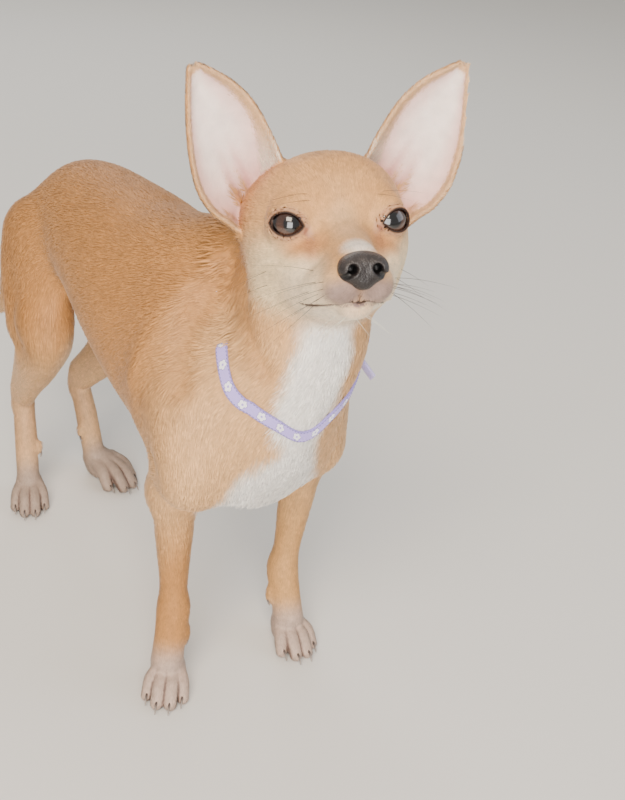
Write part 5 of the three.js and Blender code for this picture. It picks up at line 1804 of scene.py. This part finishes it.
def make_stitches():
    """A row of stitches along both edges of the band."""
    steps = 240
    angle = -math.pi + 2 * math.pi * np.arange(steps) / steps
    row = COLLAR["width"] / 2 - STITCH["from_edge"]
    points, outward, edges = [], [], []
    for side in SIDES:
        face = on_collar(angle, COLLAR["thickness"] + 0.02, side * row)
        outward.append(unit(face - on_collar(angle, 0.0, side * row)))
        start = len(points) * steps
        edges += [(start + i, start + (i + 1) % steps) for i in range(steps)]
        points.append(face)
    mesh = bpy.data.meshes.new("collar_stitches")
    mesh.from_pydata(((np.concatenate(points) + SHIFT) * MM).tolist(), edges, [])
    directions = mesh.attributes.new("outward", "FLOAT_VECTOR", "POINT")
    directions.data.foreach_set("vector", np.concatenate(outward).astype(np.float32).ravel())
    piece = add_object("collar_stitches", mesh)
    thread = thread_material()
    tree, names = stitch_tree()
    rows = piece.modifiers.new("rows", "NODES")
    rows.node_group = tree
    rows[names["Spacing"]] = STITCH["every"] * MM
    rows[names["Thread Size"]] = tuple(half * MM for half in STITCH["half"])
    rows[names["Thread"]] = thread
    apply_modifiers(piece)
    finish_piece(piece, thread, "collar_webbing")


make_stitches()


def rounded_copy(node, name, bevel):
    """A finer copy of a solid, doubles merged and edges rounded, set down into the coat like the band."""
    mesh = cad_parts[node].data.copy()
    centre = np.mean(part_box(node), axis=0) / MM - SHIFT
    inward = collar_place.inside(centre) * (-1, -1, 0)
    moved = collar_place.axes @ (unit(inward) * SET_DOWN["inward"] + np.array((0, 0, SET_DOWN["up"])))
    mesh.transform(Matrix.Translation((moved * MM).tolist()))
    piece = add_object(name, mesh)
    weld = piece.modifiers.new("weld", "WELD")
    weld.merge_threshold = 0.00002
    rounding = piece.modifiers.new("rounding", "BEVEL")
    rounding.width = bevel * MM
    rounding.segments = 3
    rounding.limit_method = "ANGLE"
    rounding.angle_limit = math.radians(35)
    apply_modifiers(piece)
    return piece


def plastic_material():
    """Moulded acetal: pale lilac, satin, with a faint moulding grain."""
    made, tree, shader = material("moulded_acetal")
    grain = texture(tree, "ShaderNodeTexNoise", "Fac", 700, Detail=3)
    two_toned(tree, shader, grain, linear("#B9B2DC"), linear("#CDC8EA"))
    add_bump(tree, shader, grain, 0.15, 0.0002)
    set_shader(shader, roughness=0.36, ior=1.48)
    return made


def strap_end_material():
    """The strap's free end, the same nylon seen from its plain back."""
    made, tree, shader = material("lilac_nylon_back")
    weave = texture(tree, "ShaderNodeTexVoronoi", "Distance", 1900)
    two_toned(tree, shader, weave, linear("#C9C1E6"), linear("#A79CD2"))
    add_bump(tree, shader, weave, 0.4, 0.0002)
    set_shader(shader, roughness=0.6, sheen_weight=0.2)
    return made


buckle = rounded_copy("collar_buckle", "buckle", 0.5)
finish_piece(buckle, plastic_material(), "collar_plastic", "collar_buckle")
strap_end = rounded_copy("collar_tab", "strap_end", 0.35)
finish_piece(strap_end, strap_end_material(), "collar_webbing", "collar_tab")


# Floor and light

def add_floor():
    """A plain pale studio floor, dull like paper."""
    mesh = bpy.data.meshes.new("floor")
    half = 6.0
    corners = [(-half, -half, 0), (half, -half, 0), (half, half, 0), (-half, half, 0)]
    mesh.from_pydata(corners, [], [(0, 1, 2, 3)])
    floor = add_object("floor", mesh)
    made, _, shader = material("pale_floor")
    set_shader(shader, roughness=0.9, base_color=(*linear("#D9D7D2"), 1))
    mesh.materials.append(made)


def add_light(name, place, aim, size, power, colour):
    """A soft box lamp at a place in metres, aimed at another; its power is in watts."""
    data = bpy.data.lights.new(name, "AREA")
    data.shape = "RECTANGLE"
    data.size, data.size_y = size
    data.energy = power
    data.color = linear(colour)
    light = add_object(name, data)
    direction = np.array(aim, float) - np.array(place, float)
    light.matrix_world = Matrix.Translation(place) @ Matrix(
        [list(row) + [0] for row in look_axes(direction)] + [[0, 0, 0, 1]])


def look_axes(direction):
    """Axes whose -Z looks along the direction."""
    back = -unit(direction)
    right = unit(np.cross((0, 0, 1), back))
    return np.stack([right, np.cross(back, right), back], axis=1)


add_floor()

# A warm key from the front right, a window that the eyes mirror, a cool fill and a rim light from behind
add_light("key", (-0.75, -0.75, 1.35), (0, -0.03, 0.16), (0.8, 0.6), 24, "#FFEBD3")
add_light("window", (-0.71, -1.045, 0.504), (0, -0.11, 0.24), (0.7, 0.75), 19, "#F8F5F2")
add_light("fill", (1.2, -0.9, 0.8), (0, 0, 0.14), (1.2, 1.0), 7, "#EEF3FF")
add_light("rim", (0.4, 1.3, 1.2), (0, 0, 0.15), (1.0, 0.8), 10, "#FFFFFF")
world = bpy.data.worlds.new("studio")
bpy.context.scene.world = world
world.use_nodes = True
world.node_tree.nodes["Background"].inputs["Color"].default_value = (*linear("#ECEAE6"), 1)
world.node_tree.nodes["Background"].inputs["Strength"].default_value = 0.72
